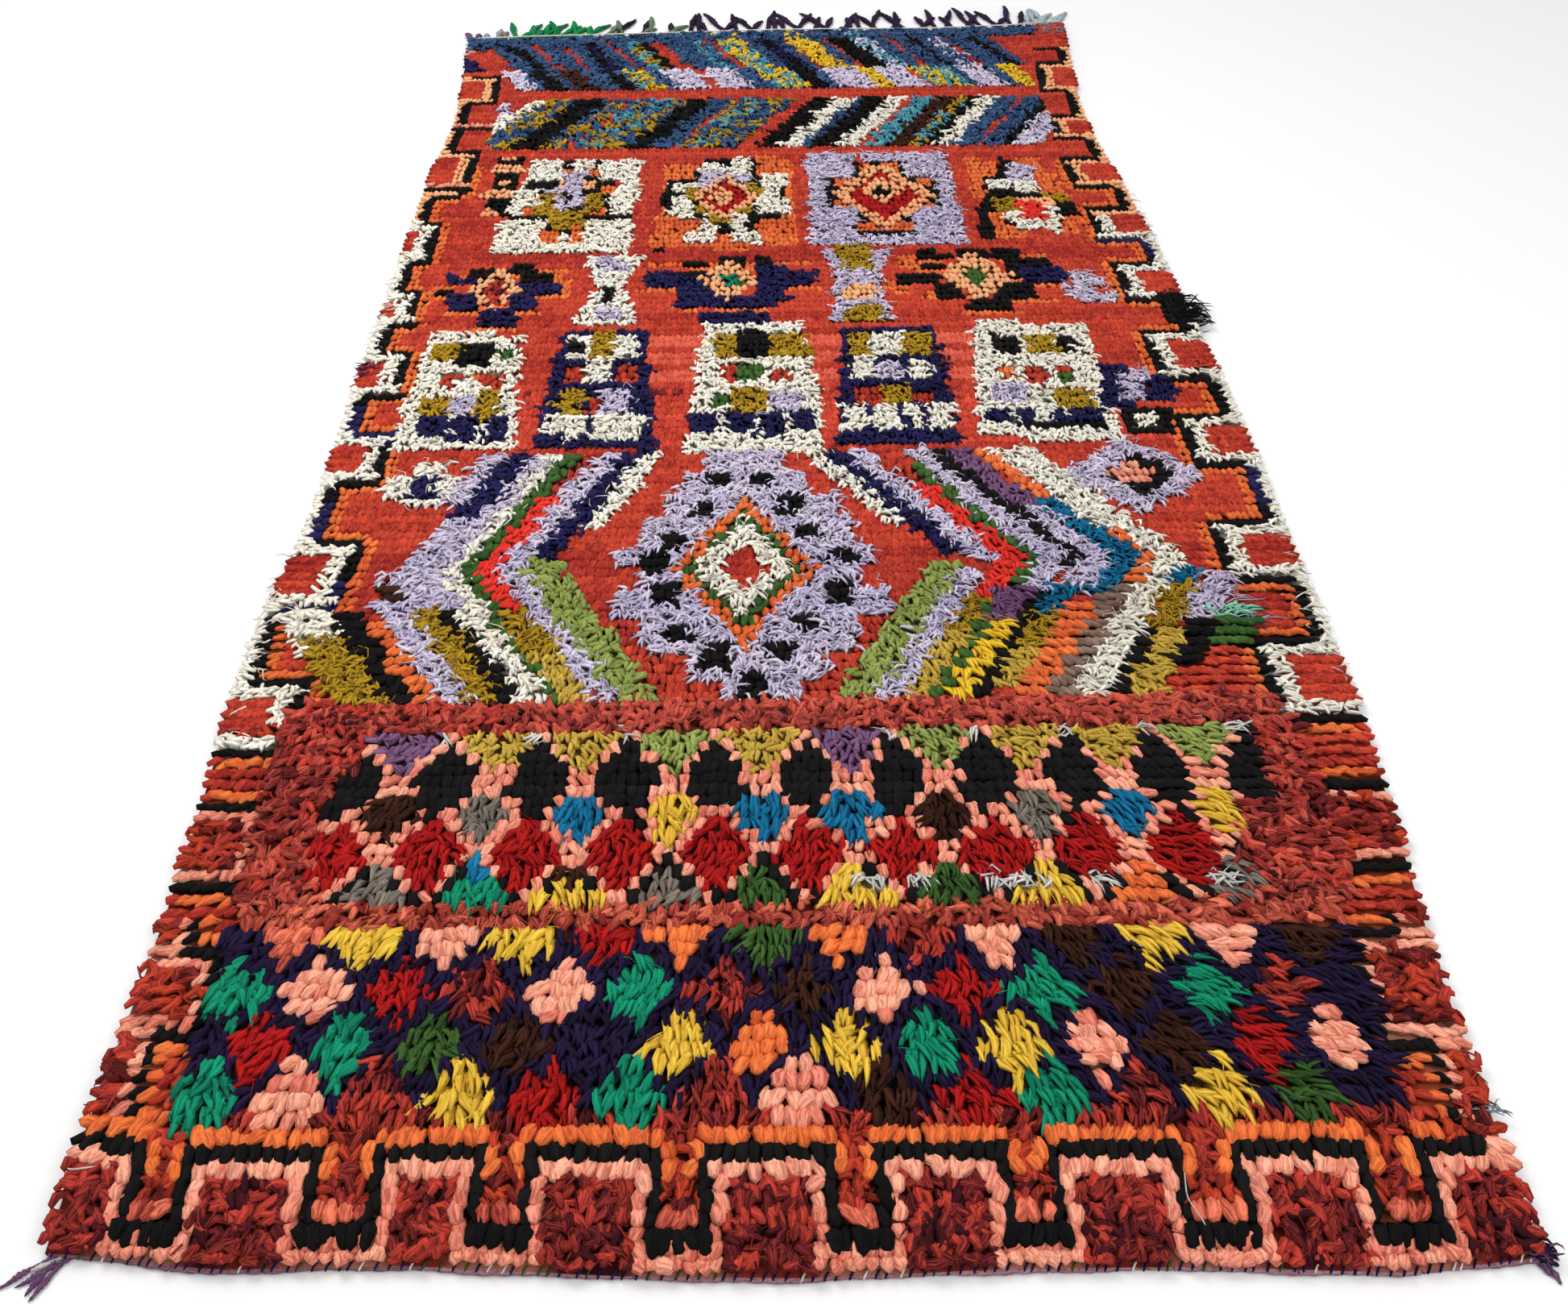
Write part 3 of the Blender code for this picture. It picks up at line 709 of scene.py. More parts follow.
medallion = np.zeros(len(knot_x), dtype=bool)
for low, high, first, last in MEDALLION_STEPS:
    medallion |= box(first, last, low, high)
yarn[medallion] = "lavender"
for x, v in STUDS:
    yarn[medallion & box(x - STUD_HALF, x + STUD_HALF, v - STUD_HALF, v + STUD_HALF)] = "black"
for colour, half_width, half_height in (
    ("orange", 0.112, 0.178), ("green", 0.088, 0.140), ("cream", 0.074, 0.116), ("red", 0.038, 0.060),
):
    yarn[lozenge(MEDALLION_X, MEDALLION_V, half_width, half_height)] = colour
worked = medallion & (yarn != "red")
tie("medallion_pile", worked, LOOSE_COTTON,
    {"black": RING_WOOL, "cream": CREAM_COTTON, "orange": RING_WOOL, "green": RING_WOOL})

# The nested chevrons that close in the medallion from both sides, stripe by stripe in changing yarns. Each
# stripe is given by its two edges where it turns, its yarn, and the stretch of rows that has it.
DYES.update({
    "navy": ((44, 40, 94), (26, 24, 58)),
    "scarlet": ((246, 66, 52), (216, 44, 40)),
    "mustard": ((196, 156, 42), (164, 126, 30)),
    "sunny": ((248, 206, 56), (232, 184, 40)),
    "taupe": ((150, 126, 110), (116, 88, 78)),
    "mint": ((156, 216, 184), (128, 190, 160)),
})
LEFT_CHEVRONS = (
    (-0.628, -0.594, "lavender", -0.335, -0.195), (-0.594, -0.548, "navy", -0.405, -0.195),
    (-0.592, -0.525, "lavender", -0.505, -0.36), (-0.548, -0.525, "lavender", -0.36, -0.195),
    (-0.630, -0.525, "lavender", -0.57, -0.505), (-0.525, -0.498, "cream", -0.57, -0.195),
    (-0.498, -0.477, "green", -0.57, -0.195), (-0.475, -0.445, "maroon", -0.30, -0.195),
    (-0.475, -0.445, "scarlet", -0.57, -0.30), (-0.445, -0.410, "lavender", -0.485, -0.195),
    (-0.410, -0.375, "navy", -0.46, -0.195), (-0.375, -0.340, "cream", -0.39, -0.195),
    (-0.640, -0.600, "brown", -0.56, -0.51), (-0.800, -0.720, "cream", -0.66, -0.58),
    (-0.795, -0.725, "mustard", -0.80, -0.64), (-0.725, -0.685, "black", -0.80, -0.57),
    (-0.685, -0.655, "orange", -0.80, -0.59), (-0.655, -0.610, "lavender", -0.80, -0.55),
    (-0.610, -0.567, "mustard", -0.80, -0.57), (-0.567, -0.543, "black", -0.80, -0.57),
    (-0.543, -0.503, "cream", -0.80, -0.57), (-0.503, -0.486, "green", -0.80, -0.57),
    (-0.486, -0.442, "mustard", -0.67, -0.57), (-0.486, -0.442, "ochre", -0.80, -0.67),
    (-0.442, -0.408, "lavender", -0.80, -0.485), (-0.408, -0.350, "olive", -0.80, -0.455),
)
RIGHT_CHEVRONS = (
    (0.215, 0.248, "cream", -0.385, -0.195), (0.248, 0.282, "navy", -0.46, -0.195),
    (0.282, 0.320, "lavender", -0.485, -0.195), (0.320, 0.358, "red", -0.30, -0.195),
    (0.320, 0.358, "scarlet", -0.56, -0.29), (0.358, 0.380, "green", -0.56, -0.23),
    (0.380, 0.422, "lavender", -0.56, -0.195), (0.422, 0.448, "black", -0.50, -0.195),
    (0.448, 0.490, "mauve", -0.345, -0.195), (0.448, 0.490, "lavender", -0.56, -0.345),
    (0.490, 0.536, "teal", -0.56, -0.325), (0.500, 0.528, "orange", -0.325, -0.195),
    (0.536, 0.556, "orange", -0.56, -0.325), (0.530, 0.604, "cream", -0.40, -0.195),
    (0.556, 0.606, "cream", -0.56, -0.40), (0.215, 0.270, "olive", -0.80, -0.475),
    (0.270, 0.308, "lavender", -0.80, -0.50), (0.308, 0.343, "ochre", -0.80, -0.64),
    (0.308, 0.345, "mustard", -0.64, -0.56), (0.343, 0.364, "green", -0.80, -0.55),
    (0.364, 0.400, "sunny", -0.80, -0.60), (0.345, 0.402, "mauve", -0.61, -0.53),
    (0.400, 0.422, "black", -0.80, -0.56), (0.422, 0.466, "mustard", -0.66, -0.58),
    (0.422, 0.466, "ochre", -0.74, -0.66), (0.422, 0.470, "teal", -0.59, -0.54),
    (0.466, 0.508, "orange", -0.80, -0.57), (0.508, 0.542, "taupe", -0.80, -0.53),
    (0.542, 0.598, "cream", -0.80, -0.53), (0.598, 0.614, "black", -0.80, -0.62),
    (0.614, 0.668, "ochre", -0.80, -0.63), (0.602, 0.646, "mustard", -0.64, -0.53),
    (0.602, 0.640, "teal", -0.545, -0.49), (0.646, 0.700, "lavender", -0.62, -0.52),
    (0.690, 0.745, "mint", -0.622, -0.596), (0.660, 0.700, "black", -0.70, -0.61),
    (0.700, 0.760, "green", -0.67, -0.61),
)


def turned_back(vertex, upper_slope, lower_slope):
    """How far each knot's stripe stands where it turns, once its slant is taken out."""
    above = np.maximum(knot_v - vertex, 0)
    below = np.maximum(vertex - knot_v, 0)
    return above * upper_slope + below * lower_slope


def paint(where, colour):
    """Gives the chosen knots that aren't tied yet their yarn, and returns them."""
    fresh = where & ~tied
    yarn[fresh] = colour
    return fresh


def paint_stripes(place, stripes):
    painted = np.zeros(len(knot_x), dtype=bool)
    for first, last, colour, low, high in stripes:
        painted |= paint((place > first) & (place < last) & between(low, high), colour)
    return painted


left_stripes = paint_stripes(chart_x - turned_back(-0.488, 0.46, 0.60), LEFT_CHEVRONS)
right_stripes = paint_stripes(chart_x + turned_back(-0.472, 0.70, 0.55), RIGHT_CHEVRONS)
# The wool stripes are as high as the cotton between them.
STRIPE_WOOL = Lock("wool", 1, 4, 3, 0.0165, 0.030, 0.0195, 14, 0, 12, 0.0020, (0.80, 1.0, 0.80))
THICK_COTTON = LONG_COTTON._replace(length=0.038)
chevron_locks = {
    "black": STRIPE_WOOL, "green": STRIPE_WOOL, "orange": STRIPE_WOOL, "taupe": STRIPE_WOOL,
    "brown": STRIPE_WOOL, "maroon": LOW_WOOL, "red": LOW_WOOL, "sunny": THICK_COTTON,
    "navy": CREAM_COTTON, "cream": CREAM_COTTON, "teal": CREAM_COTTON,
    "scarlet": SLUB_COTTON, "olive": SLUB_COTTON, "ochre": SLUB_COTTON, "mauve": SLUB_COTTON,
}
tie("left_chevron_pile", left_stripes & ~medallion, LOOSE_COTTON, chevron_locks)
tie("right_chevron_pile", right_stripes & ~medallion, LOOSE_COTTON, chevron_locks)

# Two small fillers beside the chevrons: a cream cross with a navy heart, and a lavender lozenge with a
# black ring and a salmon heart.
cross = box(-0.605, -0.562, -0.330, -0.222) | box(-0.645, -0.530, -0.300, -0.256)
yarn[cross] = "cream"
yarn[box(-0.605, -0.568, -0.300, -0.256)] = "navy"
rhomb = lozenge(0.565, -0.270, 0.118, 0.100)
yarn[rhomb] = "lavender"
yarn[lozenge(0.575, -0.270, 0.068, 0.066)] = "black"
yarn[lozenge(0.562, -0.262, 0.040, 0.036)] = "salmon"
tie("filler_pile", (cross | rhomb) & ~left_stripes, LOOSE_COTTON,
    {"cream": CREAM_COTTON, "navy": CREAM_COTTON, "black": RING_WOOL, "salmon": RING_WOOL})

# Five ladder boxes, cream and navy by turns, with a chequer at the foot and rows of small windows above it,
# and a ragged little navy figure beside the last. Wool and cotton are mixed, and the cream stands well above
# the field.
DYES["peach"] = ((252, 190, 138), (240, 160, 112))
# A frame: its colour, its sides at the top, its sides at the foot, and the places of the foot and the top.
BOX_FRAMES = (
    ("cream", -0.645, -0.480, -0.655, -0.455, -0.192, 0.158),
    ("navy", -0.405, -0.252, -0.425, -0.220, -0.192, 0.172),
    ("cream", -0.145, 0.036, -0.178, 0.066, -0.190, 0.198),
    ("navy", 0.105, 0.278, 0.085, 0.292, -0.165, 0.195),
    ("cream", 0.352, 0.560, 0.322, 0.566, -0.152, 0.212),
)
# A window, or any other patch: its colour, its sides, and its near and far edge.
BOX_WINDOWS = (
    ("mustard", -0.637, -0.584, 0.062, 0.132), ("black", -0.584, -0.520, 0.060, 0.132),
    ("green", -0.518, -0.484, 0.070, 0.120), ("red", -0.604, -0.572, -0.016, 0.034),
    ("orange", -0.558, -0.542, 0.008, 0.034), ("red", -0.535, -0.498, -0.012, 0.034),
    ("mustard", -0.622, -0.578, -0.098, -0.038), ("lavender", -0.578, -0.530, -0.098, -0.042),
    ("mustard", -0.530, -0.492, -0.112, -0.030), ("navy", -0.622, -0.580, -0.158, -0.100),
    ("navy", -0.568, -0.520, -0.168, -0.100), ("navy", -0.506, -0.474, -0.168, -0.104),
    ("cream", -0.395, -0.357, 0.085, 0.152), ("black", -0.395, -0.365, 0.106, 0.126),
    ("mustard", -0.357, -0.312, 0.078, 0.168), ("cream", -0.310, -0.264, 0.088, 0.156),
    ("red", -0.392, -0.350, 0.000, 0.062), ("cream", -0.352, -0.312, 0.000, 0.078),
    ("red", -0.306, -0.266, 0.000, 0.062), ("mustard", -0.396, -0.348, -0.088, -0.022),
    ("red", -0.346, -0.318, -0.092, -0.030), ("lavender", -0.322, -0.272, -0.088, -0.022),
    ("cream", -0.412, -0.342, -0.158, -0.096), ("cream", -0.336, -0.244, -0.158, -0.090),
    ("mustard", -0.127, -0.086, 0.092, 0.166), ("black", -0.086, -0.030, 0.088, 0.176),
    ("mustard", -0.030, 0.038, 0.088, 0.166), ("red", -0.118, -0.090, 0.018, 0.062),
    ("green", -0.086, -0.038, 0.008, 0.068), ("red", -0.026, 0.014, 0.014, 0.062),
    ("green", -0.132, -0.096, -0.068, -0.034), ("mustard", -0.094, -0.038, -0.074, -0.014),
    ("lavender", -0.030, 0.028, -0.072, -0.018), ("navy", -0.166, -0.118, -0.138, -0.078),
    ("navy", -0.106, -0.054, -0.148, -0.078), ("navy", -0.046, -0.002, -0.148, -0.078),
    ("navy", 0.010, 0.046, -0.132, -0.070), ("mustard", 0.112, 0.160, 0.098, 0.168),
    ("cream", 0.160, 0.212, 0.098, 0.176), ("mustard", 0.214, 0.266, 0.098, 0.168),
    ("cream", 0.118, 0.160, 0.020, 0.088), ("lavender", 0.166, 0.208, 0.014, 0.082),
    ("cream", 0.218, 0.262, 0.020, 0.082), ("red", 0.122, 0.166, -0.052, -0.006),
    ("mustard", 0.166, 0.216, -0.058, 0.002), ("red", 0.218, 0.256, -0.048, -0.006),
    ("cream", 0.094, 0.142, -0.134, -0.058), ("cream", 0.150, 0.196, -0.124, -0.058),
    ("cream", 0.206, 0.286, -0.132, -0.052), ("navy", 0.234, 0.244, -0.132, -0.052),
    ("black", 0.378, 0.427, 0.108, 0.172), ("mustard", 0.440, 0.496, 0.108, 0.172),
    ("black", 0.500, 0.536, 0.108, 0.172), ("orange", 0.380, 0.408, 0.022, 0.068),
    ("red", 0.424, 0.466, 0.008, 0.072), ("green", 0.482, 0.516, 0.018, 0.044),
    ("red", 0.482, 0.510, 0.044, 0.066), ("lavender", 0.360, 0.422, -0.048, 0.002),
    ("green", 0.436, 0.456, -0.048, -0.022), ("mustard", 0.464, 0.532, -0.062, -0.004),
    ("navy", 0.344, 0.386, -0.106, -0.062), ("navy", 0.395, 0.426, -0.106, -0.062),
    ("navy", 0.450, 0.482, -0.106, -0.062), ("navy", 0.486, 0.546, -0.106, -0.062),
    ("black", 0.400, 0.546, -0.122, -0.106), ("navy", 0.562, 0.618, 0.020, 0.078),
    ("navy", 0.552, 0.604, -0.052, 0.022), ("navy", 0.616, 0.682, -0.040, 0.036),
    ("lavender", 0.590, 0.630, -0.040, 0.030), ("lavender", 0.612, 0.648, 0.018, 0.056),
    ("orange", 0.624, 0.640, -0.028, -0.006), ("black", 0.576, 0.664, -0.135, -0.055),
    ("cream", 0.598, 0.636, -0.112, -0.078),
)
CURLED_COTTON = Lock("cotton", 3, 3, 3, 0.0082, 0.028, 0.018, 30, 38, 42, 0.0085, (0.90, 1.0, 0.65), 0.5)
LOOPED_COTTON = Lock("cotton", 3, 3, 3, 0.0088, 0.026, 0.018, 26, 28, 30, 0.0080, (0.90, 1.0, 0.70))


def patch(x0, x1, y0, y1):
    return across(x0, x1) & (knot_y > y0) & (knot_y < y1)


def paint_patches(patches):
    painted = np.zeros(len(knot_x), dtype=bool)
    for colour, x0, x1, y0, y1 in patches:
        painted |= paint(patch(x0, x1, y0, y1), colour)
    return painted


boxes = np.zeros(len(knot_x), dtype=bool)
for colour, top_left, top_right, foot_left, foot_right, foot, top in BOX_FRAMES:
    height = np.clip((knot_y - foot) / (top - foot), 0, 1)
    first = foot_left + (top_left - foot_left) * height
    last = foot_right + (top_right - foot_right) * height
    boxes |= paint((chart_x > first) & (chart_x < last) & (knot_y > foot) & (knot_y < top), colour)
boxes |= paint_patches(BOX_WINDOWS)
# The black and peach outlines are narrow locks that stand out of the clipped wool.
OUTLINE_WOOL = Lock("wool", 1, 4, 3, 0.0132, 0.027, 0.0172, 14, 0, 12, 0.0025, (0.80, 1.0, 0.80))
motif_locks = {
    "black": OUTLINE_WOOL, "peach": OUTLINE_WOOL,
    "cream": LOOPED_COTTON, "navy": LOOPED_COTTON, "lavender": CURLED_COTTON, "mustard": LOOPED_COTTON,
    "emerald": CURLED_COTTON, "scarlet": SLUB_COTTON,
}
tie("ladder_box_pile", boxes, LOW_WOOL, motif_locks)

# Three winged figures with a peach lozenge at the heart, and between them two hourglasses and a small
# lavender hook. They mix clipped wool and looped cotton as the boxes do.
FIGURES = (
    ("orange", -0.670, -0.620, 0.285, 0.330), ("orange", -0.655, -0.585, 0.352, 0.372),
    ("orange", -0.600, -0.420, 0.366, 0.392), ("orange", -0.630, -0.560, 0.218, 0.240),
    ("orange", -0.500, -0.445, 0.222, 0.252), ("orange", -0.575, -0.490, 0.172, 0.196),
    ("orange", -0.480, -0.400, 0.286, 0.352), ("orange", -0.590, -0.480, 0.240, 0.262),
    ("black", -0.605, -0.530, 0.358, 0.398), ("black", -0.525, -0.480, 0.384, 0.412),
    ("black", -0.502, -0.445, 0.346, 0.380), ("navy", -0.640, -0.575, 0.328, 0.362),
    ("black", -0.660, -0.628, 0.296, 0.322), ("navy", -0.472, -0.416, 0.300, 0.346),
    ("navy", -0.498, -0.472, 0.246, 0.346), ("navy", -0.630, -0.565, 0.236, 0.288),
    ("navy", -0.512, -0.462, 0.246, 0.292), ("navy", -0.560, -0.496, 0.194, 0.248),
    ("orange", -0.280, -0.160, 0.308, 0.326), ("orange", -0.260, -0.155, 0.398, 0.420),
    ("orange", -0.212, -0.160, 0.246, 0.268), ("orange", 0.012, 0.076, 0.320, 0.348),
    ("orange", 0.000, 0.055, 0.408, 0.442), ("orange", -0.155, 0.010, 0.392, 0.425),
    ("orange", -0.130, -0.030, 0.238, 0.262), ("black", -0.188, -0.140, 0.400, 0.432),
    ("black", -0.122, -0.072, 0.412, 0.448), ("black", -0.052, -0.022, 0.412, 0.450),
    ("navy", -0.262, -0.150, 0.322, 0.392), ("black", -0.205, -0.155, 0.374, 0.394),
    ("navy", -0.200, -0.136, 0.262, 0.326), ("navy", -0.146, -0.010, 0.258, 0.290),
    ("navy", -0.158, -0.026, 0.200, 0.240), ("navy", -0.050, 0.006, 0.286, 0.412),
    ("navy", 0.004, 0.064, 0.340, 0.402), ("orange", 0.196, 0.246, 0.318, 0.358),
    ("orange", 0.226, 0.330, 0.340, 0.358), ("orange", 0.230, 0.320, 0.396, 0.462),
    ("orange", 0.440, 0.550, 0.345, 0.366), ("orange", 0.256, 0.516, 0.288, 0.306),
    ("orange", 0.336, 0.454, 0.236, 0.262), ("orange", 0.420, 0.530, 0.440, 0.470),
    ("orange", 0.270, 0.320, 0.305, 0.330), ("black", 0.218, 0.304, 0.356, 0.392),
    ("black", 0.268, 0.318, 0.402, 0.432), ("black", 0.262, 0.340, 0.446, 0.474),
    ("black", 0.346, 0.405, 0.456, 0.480), ("black", 0.412, 0.470, 0.448, 0.484),
    ("black", 0.436, 0.480, 0.372, 0.450), ("black", 0.466, 0.526, 0.408, 0.446),
    ("navy", 0.458, 0.556, 0.366, 0.412), ("black", 0.286, 0.344, 0.302, 0.348),
    ("black", 0.402, 0.482, 0.302, 0.348), ("black", 0.348, 0.436, 0.258, 0.296),
    ("lavender", 0.562, 0.604, 0.348, 0.402), ("lavender", 0.544, 0.592, 0.304, 0.350),
    ("lavender", 0.566, 0.638, 0.290, 0.330), ("lavender", 0.598, 0.622, 0.352, 0.376),
)
FIGURE_HEARTS = (
    ("peach", -0.546, 0.318, 0.056, 0.078), ("maroon", -0.546, 0.306, 0.024, 0.056),
    ("peach", -0.106, 0.356, 0.060, 0.078), ("green", -0.092, 0.352, 0.022, 0.026),
    ("emerald", -0.104, 0.356, 0.018, 0.022),
    ("peach", 0.376, 0.382, 0.074, 0.094), ("green", 0.376, 0.382, 0.026, 0.046),
)
# An hourglass: its place, and its half width at each of some heights from the foot up.
HOURGLASSES = (
    ("cream", -0.330,
     (0.196, 0.240, 0.285, 0.318, 0.345, 0.400, 0.440), (0.060, 0.046, 0.044, 0.022, 0.030, 0.042, 0.060)),
    ("lavender", 0.147,
     (0.205, 0.240, 0.285, 0.325, 0.370, 0.410, 0.478), (0.064, 0.052, 0.044, 0.052, 0.042, 0.044, 0.072)),
)
HOURGLASS_HEARTS = (
    ("lavender", -0.356, -0.304, 0.388, 0.430), ("lavender", -0.350, -0.306, 0.204, 0.246),
    ("black", -0.344, -0.322, 0.276, 0.318), ("mustard", 0.112, 0.178, 0.404, 0.494),
    ("mustard", 0.118, 0.182, 0.204, 0.262), ("peach", 0.116, 0.178, 0.290, 0.350),
)


def diamond(x, y, half_width, half_height):
    return abs(chart_x - x) / half_width + abs(knot_y - y) / half_height < 1


figures = paint_patches(FIGURES)
for colour, x, y, half_width, half_height in FIGURE_HEARTS:
    figures |= paint(diamond(x, y, half_width, half_height), colour)
for colour, x, heights, half_widths in HOURGLASSES:
    half_width = np.interp(knot_y, heights, half_widths, left=0, right=0)
    figures |= paint(abs(chart_x - x) < half_width, colour)
figures |= paint_patches(HOURGLASS_HEARTS)
tie("figure_pile", figures, LOW_WOOL, motif_locks)

# Four star squares with filled corners, and a little comb of black and peach at their left. Peach, orange
# and black are wool, and the cream, lavender and mustard are cotton.
STARS = (
    ("black", -0.560, -0.300, 0.585, 0.605), ("black", -0.500, -0.345, 0.600, 0.770),
    ("black", -0.480, -0.385, 0.480, 0.850), ("cream", -0.535, -0.462, 0.748, 0.842),
    ("cream", -0.545, -0.515, 0.720, 0.760), ("cream", -0.444, -0.398, 0.800, 0.852),
    ("cream", -0.386, -0.298, 0.752, 0.862), ("cream", -0.336, -0.298, 0.700, 0.760),
    ("black", -0.530, -0.466, 0.724, 0.750), ("cream", -0.562, -0.500, 0.610, 0.722),
    ("cream", -0.362, -0.300, 0.650, 0.720), ("cream", -0.346, -0.310, 0.606, 0.660),
    ("cream", -0.570, -0.472, 0.448, 0.582), ("cream", -0.396, -0.302, 0.500, 0.592),
    ("cream", -0.480, -0.306, 0.450, 0.500), ("cream", -0.452, -0.418, 0.490, 0.525),
    ("orange", -0.468, -0.440, 0.780, 0.822), ("orange", -0.420, -0.388, 0.770, 0.816),
    ("orange", -0.378, -0.344, 0.700, 0.742), ("orange", -0.532, -0.486, 0.600, 0.636),
    ("orange", -0.402, -0.352, 0.600, 0.642), ("orange", -0.425, -0.394, 0.500, 0.560),
    ("orange", -0.486, -0.448, 0.486, 0.540), ("peach", -0.470, -0.444, 0.722, 0.760),
    ("peach", -0.418, -0.388, 0.722, 0.752), ("lavender", -0.458, -0.412, 0.700, 0.792),
    ("black", -0.424, -0.408, 0.752, 0.772), ("lavender", -0.496, -0.450, 0.664, 0.722),
    ("lavender", -0.438, -0.404, 0.640, 0.692), ("lavender", -0.462, -0.440, 0.625, 0.665),
    ("mustard", -0.502, -0.462, 0.604, 0.694), ("mustard", -0.408, -0.370, 0.624, 0.702),
    ("mustard", -0.476, -0.400, 0.560, 0.624), ("mustard", -0.468, -0.426, 0.548, 0.570),
    ("black", -0.260, -0.240, 0.470, 0.520), ("orange", -0.250, -0.165, 0.760, 0.850),
    ("orange", -0.246, -0.210, 0.605, 0.765), ("orange", -0.132, -0.098, 0.838, 0.862),
    ("orange", -0.055, 0.028, 0.775, 0.880), ("orange", 0.006, 0.028, 0.600, 0.780),
    ("orange", -0.262, -0.160, 0.476, 0.606), ("orange", -0.160, -0.060, 0.476, 0.512),
    ("orange", -0.058, 0.032, 0.490, 0.612), ("orange", -0.124, -0.100, 0.510, 0.545),
    ("black", -0.180, -0.040, 0.585, 0.800), ("black", -0.240, 0.006, 0.610, 0.762),
    ("black", -0.170, -0.050, 0.535, 0.600), ("black", -0.165, -0.052, 0.770, 0.868),
    ("orange", -0.200, -0.160, 0.580, 0.606), ("cream", -0.164, -0.124, 0.780, 0.852),
    ("cream", -0.104, -0.066, 0.790, 0.872), ("cream", -0.130, -0.096, 0.800, 0.832),
    ("cream", -0.226, -0.170, 0.715, 0.756), ("cream", -0.044, 0.016, 0.735, 0.800),
    ("cream", -0.034, 0.000, 0.680, 0.745), ("cream", -0.232, -0.176, 0.606, 0.682),
    ("cream", -0.052, 0.018, 0.628, 0.690), ("cream", -0.160, -0.126, 0.545, 0.612),
    ("cream", -0.100, -0.072, 0.545, 0.616), ("cream", -0.194, -0.136, 0.495, 0.545),
    ("cream", -0.098, -0.044, 0.498, 0.548), ("lavender", -0.168, -0.060, 0.735, 0.800),
    ("mustard", -0.200, -0.150, 0.680, 0.736), ("mustard", -0.076, -0.036, 0.690, 0.745),
    ("mustard", -0.168, -0.140, 0.610, 0.690), ("mustard", -0.112, -0.064, 0.620, 0.672),
    ("mustard", -0.148, -0.102, 0.572, 0.625), ("lavender", -0.142, -0.116, 0.632, 0.658),
    ("lavender", 0.060, 0.168, 0.782, 0.892), ("lavender", 0.180, 0.258, 0.848, 0.892),
    ("lavender", 0.258, 0.366, 0.865, 0.902), ("lavender", 0.268, 0.366, 0.792, 0.870),
    ("lavender", 0.060, 0.092, 0.640, 0.790), ("lavender", 0.090, 0.126, 0.670, 0.750),
    ("lavender", 0.328, 0.366, 0.655, 0.795), ("lavender", 0.300, 0.330, 0.700, 0.750),
    ("lavender", 0.060, 0.162, 0.500, 0.645), ("lavender", 0.168, 0.232, 0.500, 0.575),
    ("lavender", 0.232, 0.290, 0.500, 0.545), ("lavender", 0.256, 0.372, 0.510, 0.650),
    ("black", 0.160, 0.268, 0.560, 0.860), ("black", 0.095, 0.330, 0.655, 0.785),
    ("black", 0.150, 0.270, 0.535, 0.580), ("orange", 0.170, 0.200, 0.806, 0.856),
    ("orange", 0.212, 0.258, 0.800, 0.862), ("orange", 0.112, 0.160, 0.752, 0.780),
    ("orange", 0.290, 0.326, 0.748, 0.788), ("orange", 0.108, 0.148, 0.655, 0.684),
    ("orange", 0.280, 0.322, 0.655, 0.700), ("orange", 0.152, 0.205, 0.555, 0.600),
    ("orange", 0.222, 0.268, 0.552, 0.600), ("orange", 0.405, 0.472, 0.772, 0.880),
    ("orange", 0.405, 0.442, 0.690, 0.780), ("orange", 0.520, 0.572, 0.800, 0.888),
    ("orange", 0.558, 0.600, 0.740, 0.820), ("orange", 0.430, 0.500, 0.530, 0.600),
    ("orange", 0.425, 0.460, 0.590, 0.650), ("orange", 0.550, 0.612, 0.548, 0.622),
    ("orange", 0.450, 0.500, 0.700, 0.745), ("orange", 0.540, 0.610, 0.625, 0.740),
    ("black", 0.470, 0.545, 0.730, 0.856), ("black", 0.438, 0.500, 0.690, 0.800),
    ("black", 0.484, 0.512, 0.850, 0.882), ("black", 0.404, 0.430, 0.535, 0.650),
    ("black", 0.420, 0.450, 0.640, 0.700), ("black", 0.560, 0.612, 0.620, 0.700),
    ("black", 0.462, 0.560, 0.590, 0.720), ("lavender", 0.490, 0.548, 0.775, 0.846),
    ("cream", 0.444, 0.492, 0.742, 0.784), ("cream", 0.500, 0.546, 0.722, 0.780),
    ("mustard", 0.444, 0.500, 0.650, 0.708), ("mustard", 0.556, 0.616, 0.680, 0.715),
    ("peach", 0.492, 0.572, 0.640, 0.705), ("cream", 0.462, 0.502, 0.612, 0.645),
    ("cream", 0.478, 0.572, 0.560, 0.630), ("cream", 0.550, 0.572, 0.620, 0.660),
    ("scarlet", 0.502, 0.546, 0.604, 0.690), ("black", -0.605, -0.555, 0.600, 0.865),
    ("peach", -0.598, -0.566, 0.838, 0.858), ("peach", -0.612, -0.545, 0.782, 0.822),
    ("peach", -0.596, -0.566, 0.728, 0.748), ("peach", -0.616, -0.552, 0.672, 0.712),
    ("peach", -0.612, -0.574, 0.604, 0.628),
)
STAR_RINGS = (
    ("peach", -0.116, 0.692, 0.070, 0.105), ("crimson", -0.116, 0.692, 0.048, 0.076),
    ("peach", -0.120, 0.690, 0.024, 0.040), ("peach", 0.217, 0.708, 0.110, 0.150),
    ("crimson", 0.217, 0.708, 0.078, 0.110), ("peach", 0.217, 0.730, 0.046, 0.062),
    ("black", 0.217, 0.715, 0.020, 0.028),
)
stars = paint_patches(STARS)
for colour, x, y, half_width, half_height in STAR_RINGS:
    stars |= paint(diamond(x, y, half_width, half_height), colour)
tie("star_pile", stars, LOW_WOOL, motif_locks)

